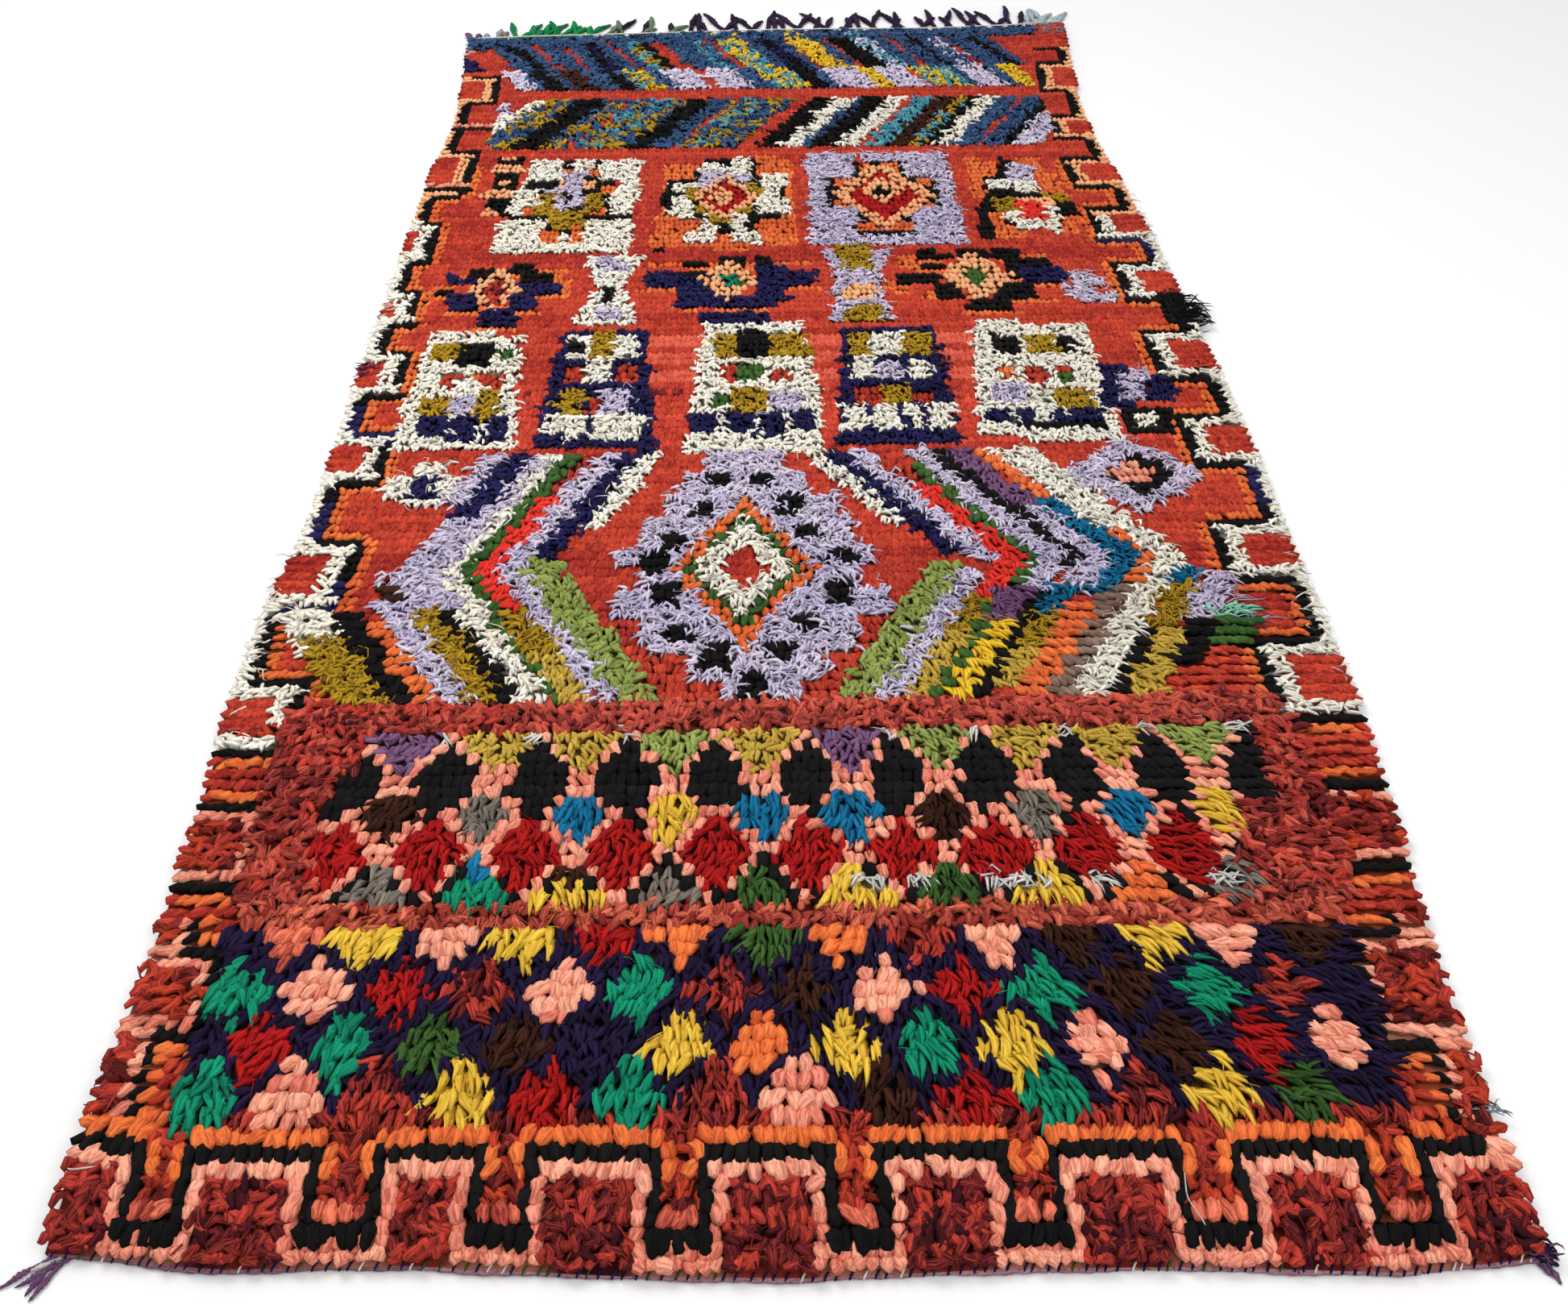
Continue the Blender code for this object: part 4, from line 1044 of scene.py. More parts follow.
# The near band of slanting stripes leans to the right. Its yarns are long for the far half, two loose plies
# to a knot, and some stripes mix two or three colours knot by knot.
DYES.update({
    "denim": ((72, 104, 148), (44, 66, 104)),
    "turquoise": ((104, 178, 190), (64, 136, 158)),
})
NEAR_STRIPES = (
    (-0.700, -0.612, "red"), (-0.612, -0.586, "cream"), (-0.586, -0.510, "denim mustard"),
    (-0.510, -0.440, "black"), (-0.440, -0.392, "mustard denim"), (-0.392, -0.380, "red"),
    (-0.380, -0.300, "denim mustard denim turquoise"), (-0.300, -0.264, "denim mustard"),
    (-0.264, -0.208, "black"), (-0.208, -0.164, "denim"), (-0.164, -0.150, "red"),
    (-0.150, -0.086, "denim mustard turquoise"), (-0.086, -0.030, "denim denim mustard"),
    (-0.030, 0.017, "red"), (0.017, 0.070, "black"), (0.070, 0.112, "cream"), (0.112, 0.130, "denim"),
    (0.130, 0.190, "black"), (0.190, 0.232, "cream"), (0.232, 0.252, "red"), (0.252, 0.298, "turquoise"),
    (0.298, 0.346, "brown"), (0.346, 0.374, "mustard turquoise"), (0.374, 0.402, "black"),
    (0.402, 0.442, "cream"), (0.442, 0.492, "denim"), (0.492, 0.506, "red"), (0.506, 0.548, "denim"),
    (0.548, 0.574, "black"), (0.574, 0.630, "lavender"),
)
NEAR_STRIPES_SLOPE = 0.54
BAND_WOOL = Lock("wool", 2, 3, 3, 0.0115, 0.034, 0.018, 26, 24, 24, 0.0075, (0.90, 1.0, 0.65))


def mixed_stripes(place, stripes, where):
    striped = np.zeros(len(knot_x), dtype=bool)
    for first, last, names in stripes:
        chosen = where & (place > first) & (place < last)
        names = names.split()
        pick = rng.integers(0, len(names), len(knot_x))
        for k, name in enumerate(names):
            paint(chosen & (pick == k), name)
        striped |= chosen
    return striped


near_stripe_place = chart_x - NEAR_STRIPES_SLOPE * (knot_y - 1.05)
near_stripes = mixed_stripes(near_stripe_place, NEAR_STRIPES, between(0.925, 1.172))
paint(patch(-0.676, -0.612, 1.050, 1.125), "lavender")
near_stripes &= (from_left > 0.10) & (from_right > 0.09) & (yarn != "red")
tie("near_stripe_pile", near_stripes, BAND_WOOL)

# The far band of slanting stripes leans to the left, mostly in a worn denim blue with black, and turns to
# lavender, yellow and turquoise along its near side. Its last rows are almost all blue.
FAR_STRIPES = (
    (-0.800, -0.717, "navy"), (-0.717, -0.640, "red"), (-0.640, -0.602, "denim"), (-0.602, -0.570, "black"),
    (-0.570, -0.546, "denim"), (-0.546, -0.527, "red"), (-0.527, -0.480, "denim"), (-0.480, -0.462, "red"),
    (-0.462, -0.430, "denim"), (-0.430, -0.392, "black navy"), (-0.392, -0.362, "denim"),
    (-0.362, -0.344, "red"), (-0.344, -0.322, "denim"), (-0.322, -0.286, "mustard turquoise"),
    (-0.286, -0.262, "black"), (-0.262, -0.226, "red"), (-0.226, -0.160, "denim"),
    (-0.160, -0.118, "turquoise denim"), (-0.118, -0.092, "red"), (-0.092, -0.024, "sunny turquoise sunny"),
    (-0.024, 0.006, "denim"), (0.006, 0.050, "black navy"), (0.050, 0.070, "denim"), (0.070, 0.088, "red"),
    (0.088, 0.146, "sunny"), (0.146, 0.174, "denim"), (0.174, 0.190, "red"), (0.190, 0.246, "black"),
    (0.246, 0.292, "lavender turquoise"), (0.292, 0.332, "denim"), (0.332, 0.350, "red"),
    (0.350, 0.386, "denim"), (0.386, 0.404, "black"), (0.404, 0.424, "denim"),
    (0.424, 0.470, "denim lavender"), (0.470, 0.484, "red"), (0.484, 0.540, "denim"),
    (0.540, 0.562, "black"), (0.562, 0.584, "denim"),
)
FAR_STRIPES_NEAR_SIDE = (
    (-0.682, -0.635, "lavender"), (-0.635, -0.618, "denim"), (-0.618, -0.572, "black"),
    (-0.572, -0.552, "denim"), (-0.552, -0.497, "brown"), (-0.497, -0.446, "denim"),
    (-0.446, -0.411, "black"), (-0.411, -0.400, "denim"), (-0.400, -0.342, "sunny mustard turquoise"),
    (-0.342, -0.310, "denim"), (-0.310, -0.234, "lavender"), (-0.234, -0.206, "red"),
    (-0.206, -0.136, "lavender"), (-0.136, -0.082, "denim"), (-0.082, 0.002, "turquoise sunny"),
    (0.002, 0.047, "black"), (0.047, 0.076, "denim"), (0.076, 0.162, "lavender"), (0.162, 0.200, "sunny"),
    (0.200, 0.278, "lavender"), (0.278, 0.292, "red"), (0.292, 0.380, "turquoise sunny"),
    (0.380, 0.404, "denim"), (0.404, 0.472, "lavender"), (0.472, 0.500, "denim"), (0.500, 0.548, "sunny"),
)
FAR_STRIPES_SLOPE = -0.50
BLUE_END = 1.520
far_stripe_place = chart_x - FAR_STRIPES_SLOPE * (knot_v - 1.40)
far_stripes = mixed_stripes(far_stripe_place, FAR_STRIPES, between(1.340, 1.60))
near_side = between(1.235, 1.340) & across(-0.655, 0.612)
far_stripes |= mixed_stripes(far_stripe_place, FAR_STRIPES_NEAR_SIDE, near_side)
blue_rows = between(BLUE_END, 1.60) & across(-0.74, 0.660) & (rng.random(len(knot_x)) < 0.80)
paint(blue_rows, "denim")
corner_rows = between(1.490, 1.60) & across(-0.75, -0.600)
paint(corner_rows, "denim")
paint(corner_rows & (rng.random(len(knot_x)) < 0.25), "black")
far_stripes |= blue_rows | corner_rows
far_stripes &= yarn != "red"
tie("far_stripe_pile", far_stripes, BAND_WOOL)

# The side borders: a line of black, edged in salmon, cream or peach towards the edge and in orange towards
# the field, that turns in and out of the field in square pockets, a little differently on each side.
# The steps are where the line turns, from the far end. The left side starts with a pocket that is open to
# the edge, and the right side with a closed one.
LEFT_STEPS = (
    1.320, 1.173, 0.910, 0.704, 0.603, 0.452, 0.326, 0.211, 0.120, -0.006, -0.132,
    -0.254, -0.410, -0.567, -0.710, -0.843, -0.952, -1.071, -1.165, -1.285, -1.400,
)
RIGHT_STEPS = (
    1.430, 1.350, 1.210, 1.067, 0.950, 0.855, 0.735, 0.640, 0.507, 0.408, 0.280, 0.155,
    0.015, -0.114, -0.237, -0.395, -0.530, -0.657, -0.804, -0.920, -1.050, -1.147, -1.305, -1.410,
)
# How far in the line stands from the edge in a pocket that is open to the edge. Columns: place along the
# rug, distance.
LEFT_REACH = np.array((
    (-1.40, 0.085), (-0.80, 0.086), (-0.50, 0.087), (-0.20, 0.078), (0.05, 0.075), (0.25, 0.055),
    (0.55, 0.055), (0.70, 0.075), (1.30, 0.080),
))
RIGHT_REACH = np.array((
    (-1.40, 0.092), (-1.00, 0.107), (-0.50, 0.108), (0.00, 0.100), (0.20, 0.095), (0.50, 0.109),
    (0.65, 0.100), (0.80, 0.100), (1.00, 0.080), (1.35, 0.085),
))
EDGE_REACH = 0.022
NAVY_LEFT = ((-0.15, -0.05), (-0.40, -0.30), (-0.60, -0.50))
NAVY_RIGHT = ((-0.35, -0.25), (0.43, 0.53))
EDGE_WOOL = Lock("wool", 1, 5, 3, 0.0155, 0.029, 0.013, 16, 0, 14, 0.0030, (0.80, 1.0, 0.68))


def row_at(place):
    return round((place - NEAR_MIDDLE) / row_pitch - 0.5)


def meander(columns_in, steps, reach, open_first, navy_rows):
    """Paints one side border, column by column from the edge, and returns its knots."""
    wide = knot_v < SHAG_END
    pitch = np.where(wide, 1.53 / SHAG_KNOTS, 1.51 / FINE_KNOTS)
    edging = np.where(knot_v > 0.6, "peach", np.where(knot_v > -0.90, "cream", "salmon"))
    closed = np.where(knot_v < -1.13, 3, np.where(wide, -2, np.round(EDGE_REACH / pitch)))
    border = np.zeros(len(knot_x), dtype=bool)
    bounds = list(steps) + [steps[-1] - 0.15]
    for k, (high, low) in enumerate(zip(bounds, bounds[1:])):
        opened = (k % 2 == 0) == open_first
        reach_here = np.interp((high + low) / 2, reach[:, 0], reach[:, 1])
        deep = np.round(reach_here / pitch)
        line = deep if opened else closed
        rows = (knot_row < row_at(high)) & (knot_row > row_at(low))
        here = rows & (columns_in <= deep + 2)
        border |= here
        paint(here, "red")
        paint(here & (columns_in < line) & (knot_v < -0.8), "rust")
        paint(here & (yarn == "rust") & (rng.random(len(knot_x)) < 0.55), "maroon")
        inward = columns_in - line
        paint(rows & (inward >= 1) & (inward <= np.where(wide, 1, 2)) & (knot_v < 0.85), "orange")
        paint(rows & (inward <= 0) & (inward >= np.where(wide, 0, -1)), "black")
        edge_line = rows & (inward <= np.where(wide, -1, -2)) & (inward >= np.where(wide, -1, -3))
        for dye in ("cream", "salmon", "peach"):
            paint(edge_line & (edging == dye), dye)
        open_side = -1 if opened else 1
        bar_row = row_at(high)
        first = np.maximum(closed, 0)
        bar = (columns_in >= first) & (columns_in <= deep)
        past_bar = (columns_in > deep) & (columns_in <= deep + 2) & (knot_row == bar_row)
        border |= (columns_in <= deep + 2) & (knot_row == bar_row)
        paint(past_bar & (knot_v < 0.85), "orange")
        for dye in ("cream", "salmon", "peach"):
            paint((columns_in < deep) & (knot_row == bar_row + open_side) & (edging == dye), dye)
            paint((columns_in < first) & (knot_row == bar_row) & (edging == dye), dye)
        paint(bar & (columns_in > first) & (knot_row == bar_row - open_side) & (knot_v < 0.85), "orange")
        paint(bar & (knot_row == bar_row), "black")
    for low, high in navy_rows:
        paint(border & (yarn == "black") & between(low, high), "navy")
    return border


knots_of_row = np.where(knot_v < SHAG_END, SHAG_KNOTS, FINE_KNOTS)
left_border = meander(knot_column, LEFT_STEPS, LEFT_REACH, True, NAVY_LEFT)
right_border = meander(knots_of_row - 1 - knot_column, RIGHT_STEPS, RIGHT_REACH, False, NAVY_RIGHT)
# Two more bars on the left, each with a salmon row beyond it.
for bar in (1.031, 0.755):
    left_border |= paint((from_left < 0.10) & (knot_row == row_at(bar)), "black")
    left_border |= paint((from_left < 0.09) & (knot_row == row_at(bar) + 1), "salmon")
# Where the right edge has ravelled, its cream is gone and only black is left.
right_border |= paint((from_right < 0.048) & between(0.195, 0.300), "black")
FLAT_BLACK = Lock("wool", 1, 4, 3, 0.0150, 0.025, 0.0125, 12, 0, 10, 0.0020, (0.85, 1.0, 0.75))
CUT_WOOL = Lock("nap", 1, 4, 3, 0.0250, 0.034, 0.0088, 6, 0, 6, 0.0010, (0.9, 1.0, 0.85))
# The clipped wool takes strong painted shade at its tips, where each row dips under the next, which draws
# dark lines between the rows.
FINISHES["nap"] = yarn_finish("clipped_wool", 3.0, 0.0028, 1.6, 0.42, 0.80, 0.66, 0.38)
SHORT_WOOL = Lock("wool", 1, 4, 3, 0.0152, 0.024, 0.0125, 14, 0, 14, 0.0030, (0.80, 1.0, 0.70))
shag_locks = {
    "cream": CREAM_COTTON, "rust": FELTED_WOOL, "maroon": FELTED_WOOL,
    "black": FLAT_BLACK, "navy": FLAT_BLACK,
}
border_locks = {
    "red": CUT_WOOL, "cream": LOOPED_COTTON, "rust": FELTED_WOOL, "maroon": FELTED_WOOL,
    "black": FLAT_BLACK, "navy": FLAT_BLACK,
}
tie("left_shag_border_pile", left_border & (knot_v < SHAG_END), EDGE_WOOL, shag_locks)
tie("right_shag_border_pile", right_border & (knot_v < SHAG_END), EDGE_WOOL, shag_locks)
tie("left_border_pile", left_border, SHORT_WOOL, border_locks)
tie("right_border_pile", right_border, SHORT_WOOL, border_locks)

# The field is one madder red, knotted in single wool and clipped low, so that its rows show as ribs. The
# dye lots changed between the ladder boxes, where some rows are paler, and one row is mostly maroon.
DYES.update({
    "faded": ((226, 104, 80), (190, 64, 50)),
    "madder": ((222, 84, 60), (168, 44, 38)),
})
field = ~tied
yarn[field] = "red"
paint(between(0.015, 0.170) & across(-0.26, 0.36) & (knot_row % 3 != 1), "faded")
paint(between(-0.170, 0.015) & across(-0.66, 0.62) & (knot_row % 4 != 2), "madder")
paint((knot_row == row_at(-0.006)) & (rng.random(len(knot_x)) < 0.7), "maroon")
tie("near_field_pile", field & (knot_v < -0.58), EDGE_WOOL)
tie("middle_field_pile", field & (knot_v < 0.45), CUT_WOOL)
tie("far_field_pile", field, CUT_WOOL)

# The ground cloth under the pile: cotton warps and wool wefts beaten hard over them. Its wefts show between
# the locks, in the colour of the knots beside them, and darkened with painted shade as if deep in the pile.
GROUND_THICKNESS = 0.0050
GROUND_COLUMNS, GROUND_ROWS = 50, 104
FINISHES["ground"] = yarn_finish("woven_ground", 3.0, 0.0012, 1.0, 0.55, 0.70, 0.80, 1.0)
knots_in_row = np.array([SHAG_KNOTS if NEAR_MIDDLE + (r + 0.5) * row_pitch < SHAG_END else FINE_KNOTS
                         for r in range(ROWS)])
first_in_row = np.concatenate(([0], np.cumsum(knots_in_row)[:-1]))
grid_share, grid_v = np.meshgrid(np.linspace(-1, 1, GROUND_COLUMNS + 1),
                                 np.linspace(NEAR_MIDDLE, FAR_MIDDLE, GROUND_ROWS + 1))
grid_x, grid_y = woven_place(grid_share.ravel(), grid_v.ravel())
grid_row = np.clip(((grid_v.ravel() - NEAR_MIDDLE) / row_pitch).astype(int), 0, ROWS - 1)
row_knots = knots_in_row[grid_row]
grid_knot = np.clip(((grid_share.ravel() + 1) / 2 * row_knots).astype(int), 0, row_knots - 1)
grid_dye = dyed(yarn[first_in_row[grid_row] + grid_knot], grid_row)
upper = np.stack((grid_x, grid_y, np.full(len(grid_x), GROUND_THICKNESS)), axis=1)
lower = np.stack((grid_x, grid_y, np.zeros(len(grid_x))), axis=1)
number = np.arange(len(grid_x)).reshape(GROUND_ROWS + 1, GROUND_COLUMNS + 1)
a, b = number[:-1, :-1].ravel(), number[:-1, 1:].ravel()
c, d = number[1:, 1:].ravel(), number[1:, :-1].ravel()
top_faces = np.concatenate((np.stack((a, b, c), axis=1), np.stack((a, c, d), axis=1)))
rim = np.concatenate((number[0], number[1:, -1], number[-1, -2::-1], number[-2:0:-1, 0]))
following = np.roll(rim, -1)
under = len(grid_x)
rim_faces = np.concatenate((np.stack((rim, rim + under, following + under), axis=1),
                            np.stack((rim, following + under, following), axis=1)))
ground_faces = np.concatenate((top_faces, top_faces[:, ::-1] + under, rim_faces))
map_u = np.tile(grid_share.ravel() * 0.23 + 0.25, 2)
map_u[under:] += 0.5
map_v = np.tile((grid_v.ravel() - NEAR_MIDDLE) / (FAR_MIDDLE - NEAR_MIDDLE) * 0.96 + 0.02, 2)
ground_map = np.stack((map_u, map_v), axis=1)[ground_faces.ravel()]
ground_map[len(top_faces) * 6:] = (0.499, 0.5)
# Painted shade: a grain height of 0.15 holds the whole ground cloth low in its finish's painted root shade.
ground_grain = np.stack((grid_x * 300, grid_y * 300, np.full(under, 0.15)), axis=1)
ground_points = np.concatenate((upper, lower))
ground_shades = [np.tile(colours, (2, 1)) for colours in grid_dye]
ground_grains = np.tile(ground_grain, (2, 1))
finish_numbers = np.zeros(len(ground_faces))
ground = mesh_of("ground_cloth", ground_points, ground_faces, ["ground"], finish_numbers,
                 ground_shades, ground_grains, ground_map)
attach(ground, "root")
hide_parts("rug_body")

# A few loose ends of pale cotton lie on the pile, where a thread was tied off or pulled, and in places the
# edge has ravelled into tufts of its own yarn.
LOOSE_ENDS = (
    # Colour, width, and the line it lies on: place across, place along, height.
    ("white", 0.0016,
     ((0.392, -1.462, 0.022), (0.388, -1.490, 0.024), (0.402, -1.518, 0.023), (0.404, -1.552, 0.018))),
    ("white", 0.0022,
     ((-0.776, -1.428, 0.016), (-0.784, -1.440, 0.012), (-0.768, -1.449, 0.020), (-0.742, -1.446, 0.022))),
)
# Places where the edge has ravelled: colour, strands, where they start, how far they spread, lean in
# degrees from straight towards the near end to the right, length and width.
RAVELLED = (
    ("black", 90, (0.764, 0.256), (0.026, 0.046), 76.0, 0.078, 0.0042),
    ("black", 12, (0.748, 0.052), (0.020, 0.016), 70.0, 0.048, 0.0030),
    ("cream", 26, (-0.738, 0.215), (0.010, 0.130), -70.0, 0.040, 0.0030),
    ("navy", 12, (-0.740, 0.048), (0.012, 0.022), -72.0, 0.046, 0.0032),
    ("cream", 22, (0.745, 0.560), (0.010, 0.160), 70.0, 0.032, 0.0028),
    ("cream", 30, (0.770, -0.560), (0.012, 0.200), 64.0, 0.038, 0.0032),
    ("cream", 30, (-0.762, -0.640), (0.012, 0.200), -60.0, 0.038, 0.0032),
    ("lavender", 14, (0.672, -0.572), (0.020, 0.030), 84.0, 0.080, 0.0030),
    ("teal", 8, (0.684, -0.590), (0.014, 0.012), 84.0, 0.060, 0.0030),
    ("pale", 6, (0.747, -1.388), (0.010, 0.006), 64.0, 0.044, 0.0032),
    ("aubergine", 16, (0.744, -1.542), (0.008, 0.006), 48.0, 0.036, 0.0042),
    ("mauve", 10, (0.746, -1.548), (0.006, 0.004), 50.0, 0.036, 0.0042),
    ("denim", 26, (-0.735, 1.480), (0.012, 0.040), -80.0, 0.042, 0.0034),
    ("white", 14, (-0.738, 1.420), (0.010, 0.020), -80.0, 0.034, 0.0028),
    ("pale", 26, (0.705, 1.600), (0.030, 0.026), 96.0, 0.050, 0.0034),
)
DYES["pale"] = ((182, 198, 206), (138, 154, 168))
loose_parts = []
for colour, width, line in LOOSE_ENDS:
    steps = np.linspace(0, 3, 13)
    thread = np.array([[np.interp(steps, range(4), [point[k] for point in line]) for k in range(3)]])
    thread = thread.transpose(0, 2, 1)
    thread[:, 1:-1] = (thread[:, :-2] + 2 * thread[:, 1:-1] + thread[:, 2:]) / 4
    points = skin(thread, np.full((1, 12), width / 2), 4, 0.9)
    dyes = dyed(np.array([colour]), np.array([0]))
    loose_parts.append(("cotton", 4, 12, points, lock_grain(1, 4, np.linspace(0.5, 3.0, 13)), dyes))
for colour, count, middle, spread, lean, length, width in RAVELLED:
    roots = np.array(middle) + rng.uniform(-1, 1, (count, 2)) * spread
    wisp = Lock("cotton", 1, 3, 6, width, length, 0.017, 22, 0, 45, 0.002, (1.0, 1.0, 0.95, 0.9, 0.8, 0.55))
    strand_dyes = dyed(np.full(count, colour), np.arange(count))
    leans = np.full(count, math.radians(lean))
    loose_parts.append(("cotton", 3, 6, *spin(roots, leans, strand_dyes, wisp, 0.9)))
piece_of("loose_ends", loose_parts, "rug_body")

# Along the near end a narrow mauve band is whipped to the cloth with short stitches, most of them dark, just
# under the tips of the pile. Its ends hang out at the corners as small tassels, the left one mixed with
# white.
HEADING_INSET = 0.004
BAND_WIDTH, BAND_INSET = 0.0100, 0.0012
DYES["heather"] = ((185, 141, 150), (136, 94, 112))
STITCH_PITCH, STITCH_WIDTH = 0.0125, 0.0024
CORNER_STRANDS = (
    # First and last place across, strands, length, lean in degrees, yarns.
    (-0.764, -0.746, 5, 0.046, -46.0, "mauve mauve white mauve"),
    (0.740, 0.750, 3, 0.022, 44.0, "mauve navy"),
)
ROOT_WIDTH, STRAND_WIDTH, KNOT_WIDTH, TIP_SHARE = 0.0120, 0.0112, 0.0170, 0.60
FLATNESS = 0.7
STRAND_RINGS = 12
# A corner strand has this share of a fringe strand's width.
CORNER_SHARE = 0.48


def hanging_strands(groups, edge, outward, offset):
    """The middle line and width of each strand of a fringe, from its root on the heading to its tip."""
    paths, widths, colours = [], [], []
    n = 0
    for first, last, count, length, lean, names in groups:
        for k in range(count):
            x = first if count == 1 else first + (last - first) * k / (count - 1)
            own_length = length * (1 + 0.24 * math.cos(1.7 * n))
            angle = math.radians(lean + 26.0 * math.sin(2.4 * n))
            curl = math.radians(16.0 * math.cos(1.7 * n))
            y = edge(x) + outward * offset
            path, width = [(x, y)], [ROOT_WIDTH]
            for step in range(1, 6):
                angle += curl * math.cos(1.9 * step)
                x += own_length / 5 * math.sin(angle)
                y += own_length / 5 * outward * math.cos(angle)
                path.append((x, y))
                plain_width = STRAND_WIDTH if step < 5 else STRAND_WIDTH * TIP_SHARE
                width.append(KNOT_WIDTH if step == 3 else plain_width)
            paths.append(path)
            widths.append(width)
            group_dyes = names.split()
            colours.append(group_dyes[k % len(group_dyes)])
            n += 1
    return np.array(paths), np.array(widths), np.array(colours)


def lay_strands(paths, widths, colours, plies, twist):
    """Two or more plies wound round each other along each strand, lying on the floor."""
    steps = np.linspace(0, 5, STRAND_RINGS + 1)
    count = len(paths)
    line = np.zeros((count, len(steps), 3))
    across_strand = np.zeros((count, len(steps)))
    for k in range(count):
        line[k, :, 0] = np.interp(steps, range(6), paths[k, :, 0])
        line[k, :, 1] = np.interp(steps, range(6), paths[k, :, 1])
        across_strand[k] = np.interp(steps, range(6), widths[k])
    line[:, 1:-1, :2] = (line[:, :-2, :2] + 2 * line[:, 1:-1, :2] + line[:, 2:, :2]) / 4
    line[:, :, 2] = across_strand * FLATNESS / 2
    along = np.gradient(line, axis=1)
    along /= np.linalg.norm(along, axis=2, keepdims=True)
    side = np.cross((0.0, 0.0, 1.0), along)
    parts = []
    for ply in range(plies):
        turn = 2 * math.pi * (ply / plies + twist * steps[None] / 5) + np.arange(count)[:, None]
        own = line.copy()
        own += side * (across_strand * 0.24 * np.cos(turn))[:, :, None]
        own[:, :, 2] += across_strand * 0.24 * FLATNESS * np.sin(turn)
        radii = across_strand[:, :-1] * (0.36 if plies > 1 else 0.5)
        points = skin(own, radii, 4)
        grain = lock_grain(count, 4, np.linspace(0.5, 4.0, STRAND_RINGS + 1))
        parts.append(("cotton", 4, STRAND_RINGS, points, grain, dyed(colours, np.arange(count))))
    return parts


def flat_band(pieces, samples):
    """The plaited band along the near end, in short lengths that follow the edge of the cloth."""
    stations = np.linspace(left_edge(-1.53) + HEADING_INSET, right_edge(-1.55) - HEADING_INSET, pieces + 1)
    x = np.array([np.linspace(stations[k], stations[k + 1] + 0.002, samples + 1) for k in range(pieces)])
    wander = 0.0012 * np.sin(23.0 * x) + 0.0008 * np.sin(61.0 * x)
    band = np.stack((x, near_edge(x) + BAND_INSET + wander, np.full(x.shape, 0.0030)), axis=2)
    radii = BAND_WIDTH / 2 * (1 + 0.10 * np.sin(300.0 * x[:, :-1]))
    points = skin(band, radii, 6, 0.42)
    grain = lock_grain(pieces, 6, np.linspace(0.5, 12.0, samples + 1))
    return "wool", 6, samples, points, grain, dyed(np.full(pieces, "heather"), np.arange(pieces))


def whip_stitches():
    """The slanting stitches that hold the band: each goes over it and into the cloth."""
    x = np.arange(left_edge(-1.53) + 0.01, right_edge(-1.55) - 0.01, STITCH_PITCH)
    x = x + rng.uniform(-0.003, 0.003, len(x))
    stitches = np.zeros((len(x), 5, 3))
    for k, (along, out, height) in enumerate((
        (0.0020, -0.0050, 0.0066), (0.0005, -0.0035, 0.0068), (-0.0015, 0.0002, 0.0060),
        (-0.0028, 0.0026, 0.0040), (-0.0032, 0.0036, 0.0020),
    )):
        stitches[:, k, 0] = x + along
        stitches[:, k, 1] = near_edge(x) - out
        stitches[:, k, 2] = height
    radii = np.full((len(x), 4), STITCH_WIDTH / 2)
    points = skin(stitches, radii, 4, 0.9)
    colours = rng.choice(("navy", "navy", "navy", "aubergine", "green", "cream"), len(x))
    grain = lock_grain(len(x), 4, np.linspace(0.5, 1.0, 5))
    return "cotton", 4, 4, points, grain, dyed(colours, np.arange(len(x)))


corner_paths, corner_widths, corner_colours = hanging_strands(CORNER_STRANDS, near_edge, -1, 0.0020)
corner_widths *= CORNER_SHARE
near_parts = [flat_band(12, 24), whip_stitches()]
near_parts += lay_strands(corner_paths, corner_widths, corner_colours, 2, 5.0)
piece_of("near_cord", near_parts, "near_heading")

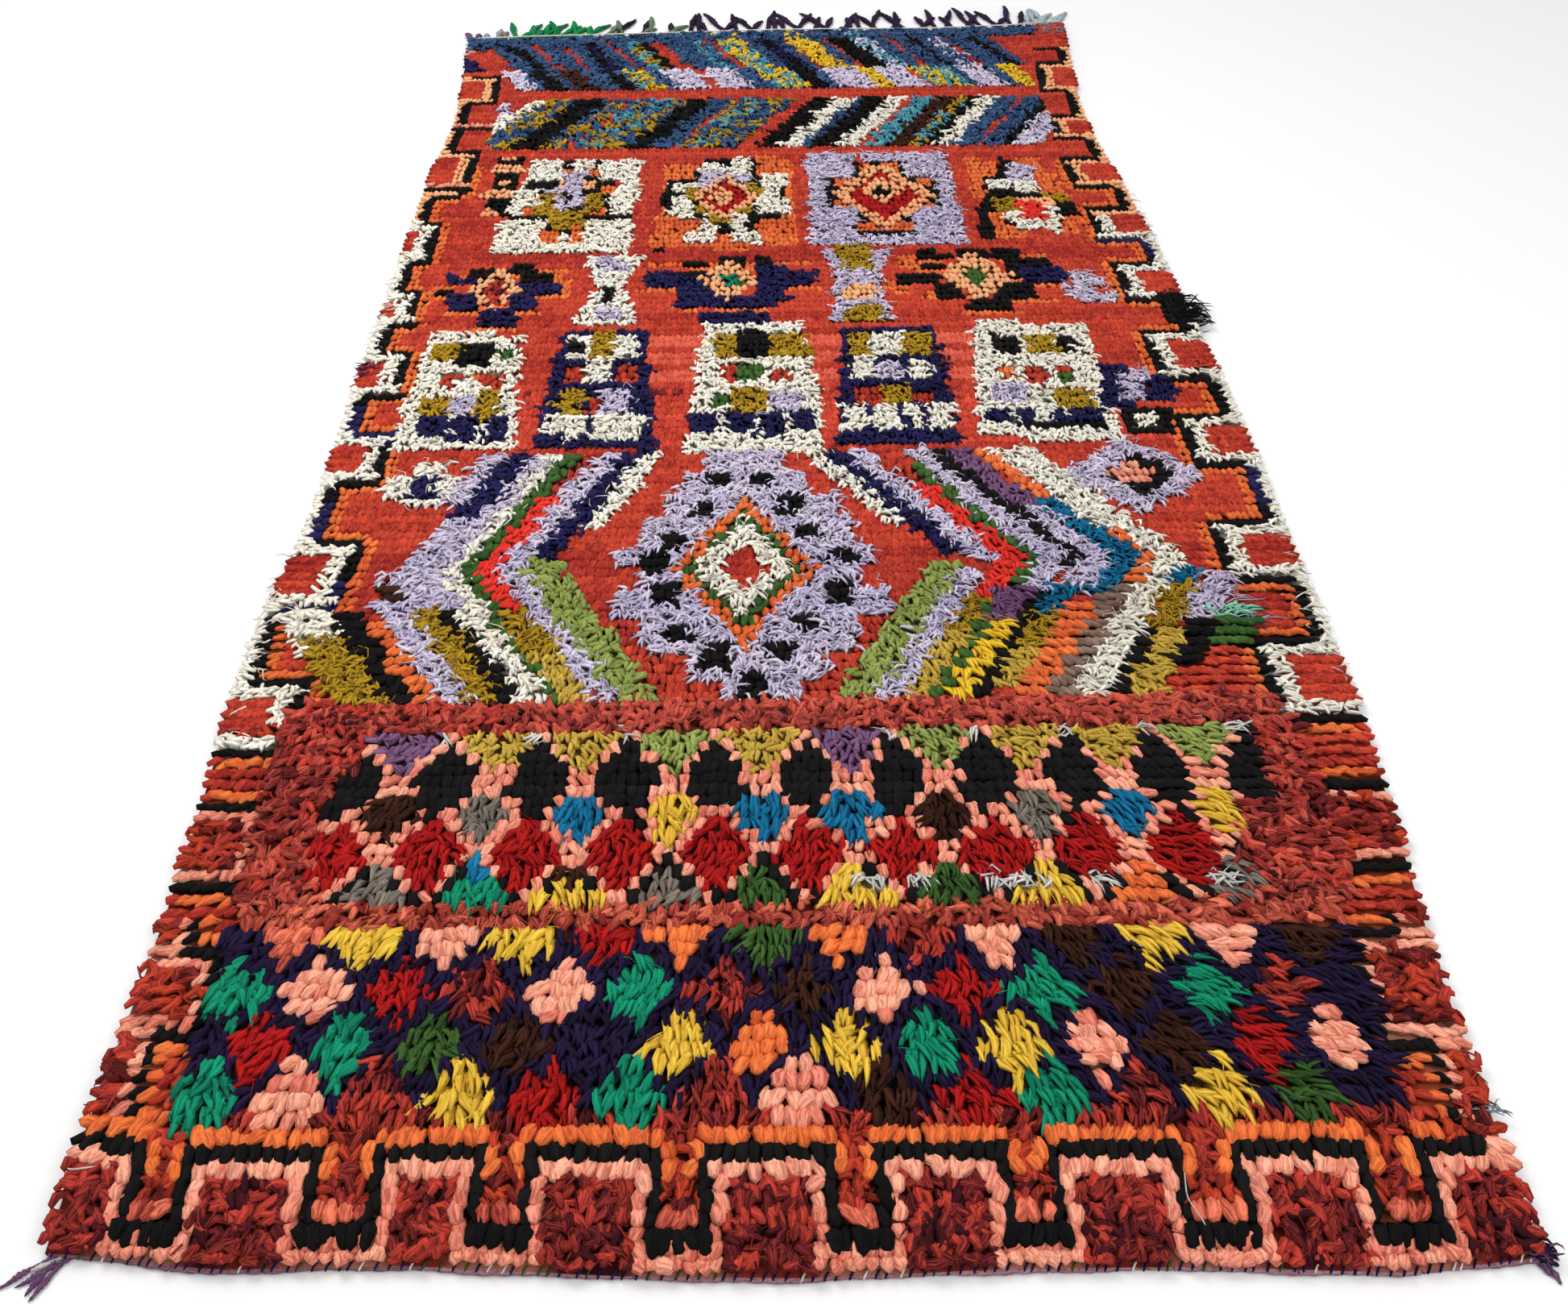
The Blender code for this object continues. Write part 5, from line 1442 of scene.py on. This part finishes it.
# At the far end a narrow strip is woven in bare cream cotton, and the warps beyond it are knotted in bunches
# of dyed cotton, each with a knot half way and a frayed tip.
FAR_TASSELS = (
    (-0.745, -0.738, 2, 0.052, -20.0, "mauve"), (-0.716, -0.676, 4, 0.064, 12.0, "pale grey"),
    (-0.655, -0.470, 15, 0.100, 16.0, "jade"), (-0.428, -0.262, 8, 0.108, 16.0, "sage plum sage"),
    (-0.215, 0.630, 36, 0.126, -2.0, "plum"), (0.655, 0.728, 8, 0.096, 14.0, "pale"),
)
DYES.update({
    "jade": ((28, 150, 88), (14, 104, 62)),
    "sage": ((120, 138, 112), (88, 108, 84)),
    "plum": ((62, 40, 72), (34, 22, 44)),
})


def heading_cord(edge, outward, offset, width, turn_length, colour, end_lift):
    """A cord of two plies from corner to corner of an end of the cloth, each ply in short lengths."""
    pieces = 12
    first, last = left_edge(edge(-0.74)) + HEADING_INSET, right_edge(edge(0.74)) - HEADING_INSET
    stations = np.linspace(first, last, pieces + 1)
    samples = 44
    parts = []
    for ply in range(2):
        own = np.zeros((pieces, samples + 1, 3))
        for k in range(pieces):
            x = np.linspace(stations[k], stations[k + 1] + 0.002, samples + 1)
            turn = 2 * math.pi * x / turn_length + ply * math.pi
            own[k, :, 0] = x
            own[k, :, 1] = edge(x) + outward * offset + width * 0.22 * np.cos(turn)
            own[k, :, 2] = end_lift + width * 0.5 + width * 0.22 * np.sin(turn)
        radii = np.full((pieces, samples), width * 0.28)
        points = skin(own, radii, 4)
        grain = lock_grain(pieces, 4, np.linspace(0.5, 12.0, samples + 1))
        parts.append(("cotton", 4, samples, points, grain, dyed(np.full(pieces, colour), np.arange(pieces))))
    return parts


far_paths, far_widths, far_colours = hanging_strands(FAR_TASSELS, far_edge, 1, 0.010)
far_parts = heading_cord(far_edge, 1, 0.0030, 0.0052, 0.009, "cream", 0.0120)
far_parts += heading_cord(far_edge, 1, 0.0075, 0.0046, 0.009, "cream", 0.0)
far_parts += lay_strands(far_paths, far_widths, far_colours, 3, 3.0)
piece_of("fringe_bunches", far_parts, "far_fringe")
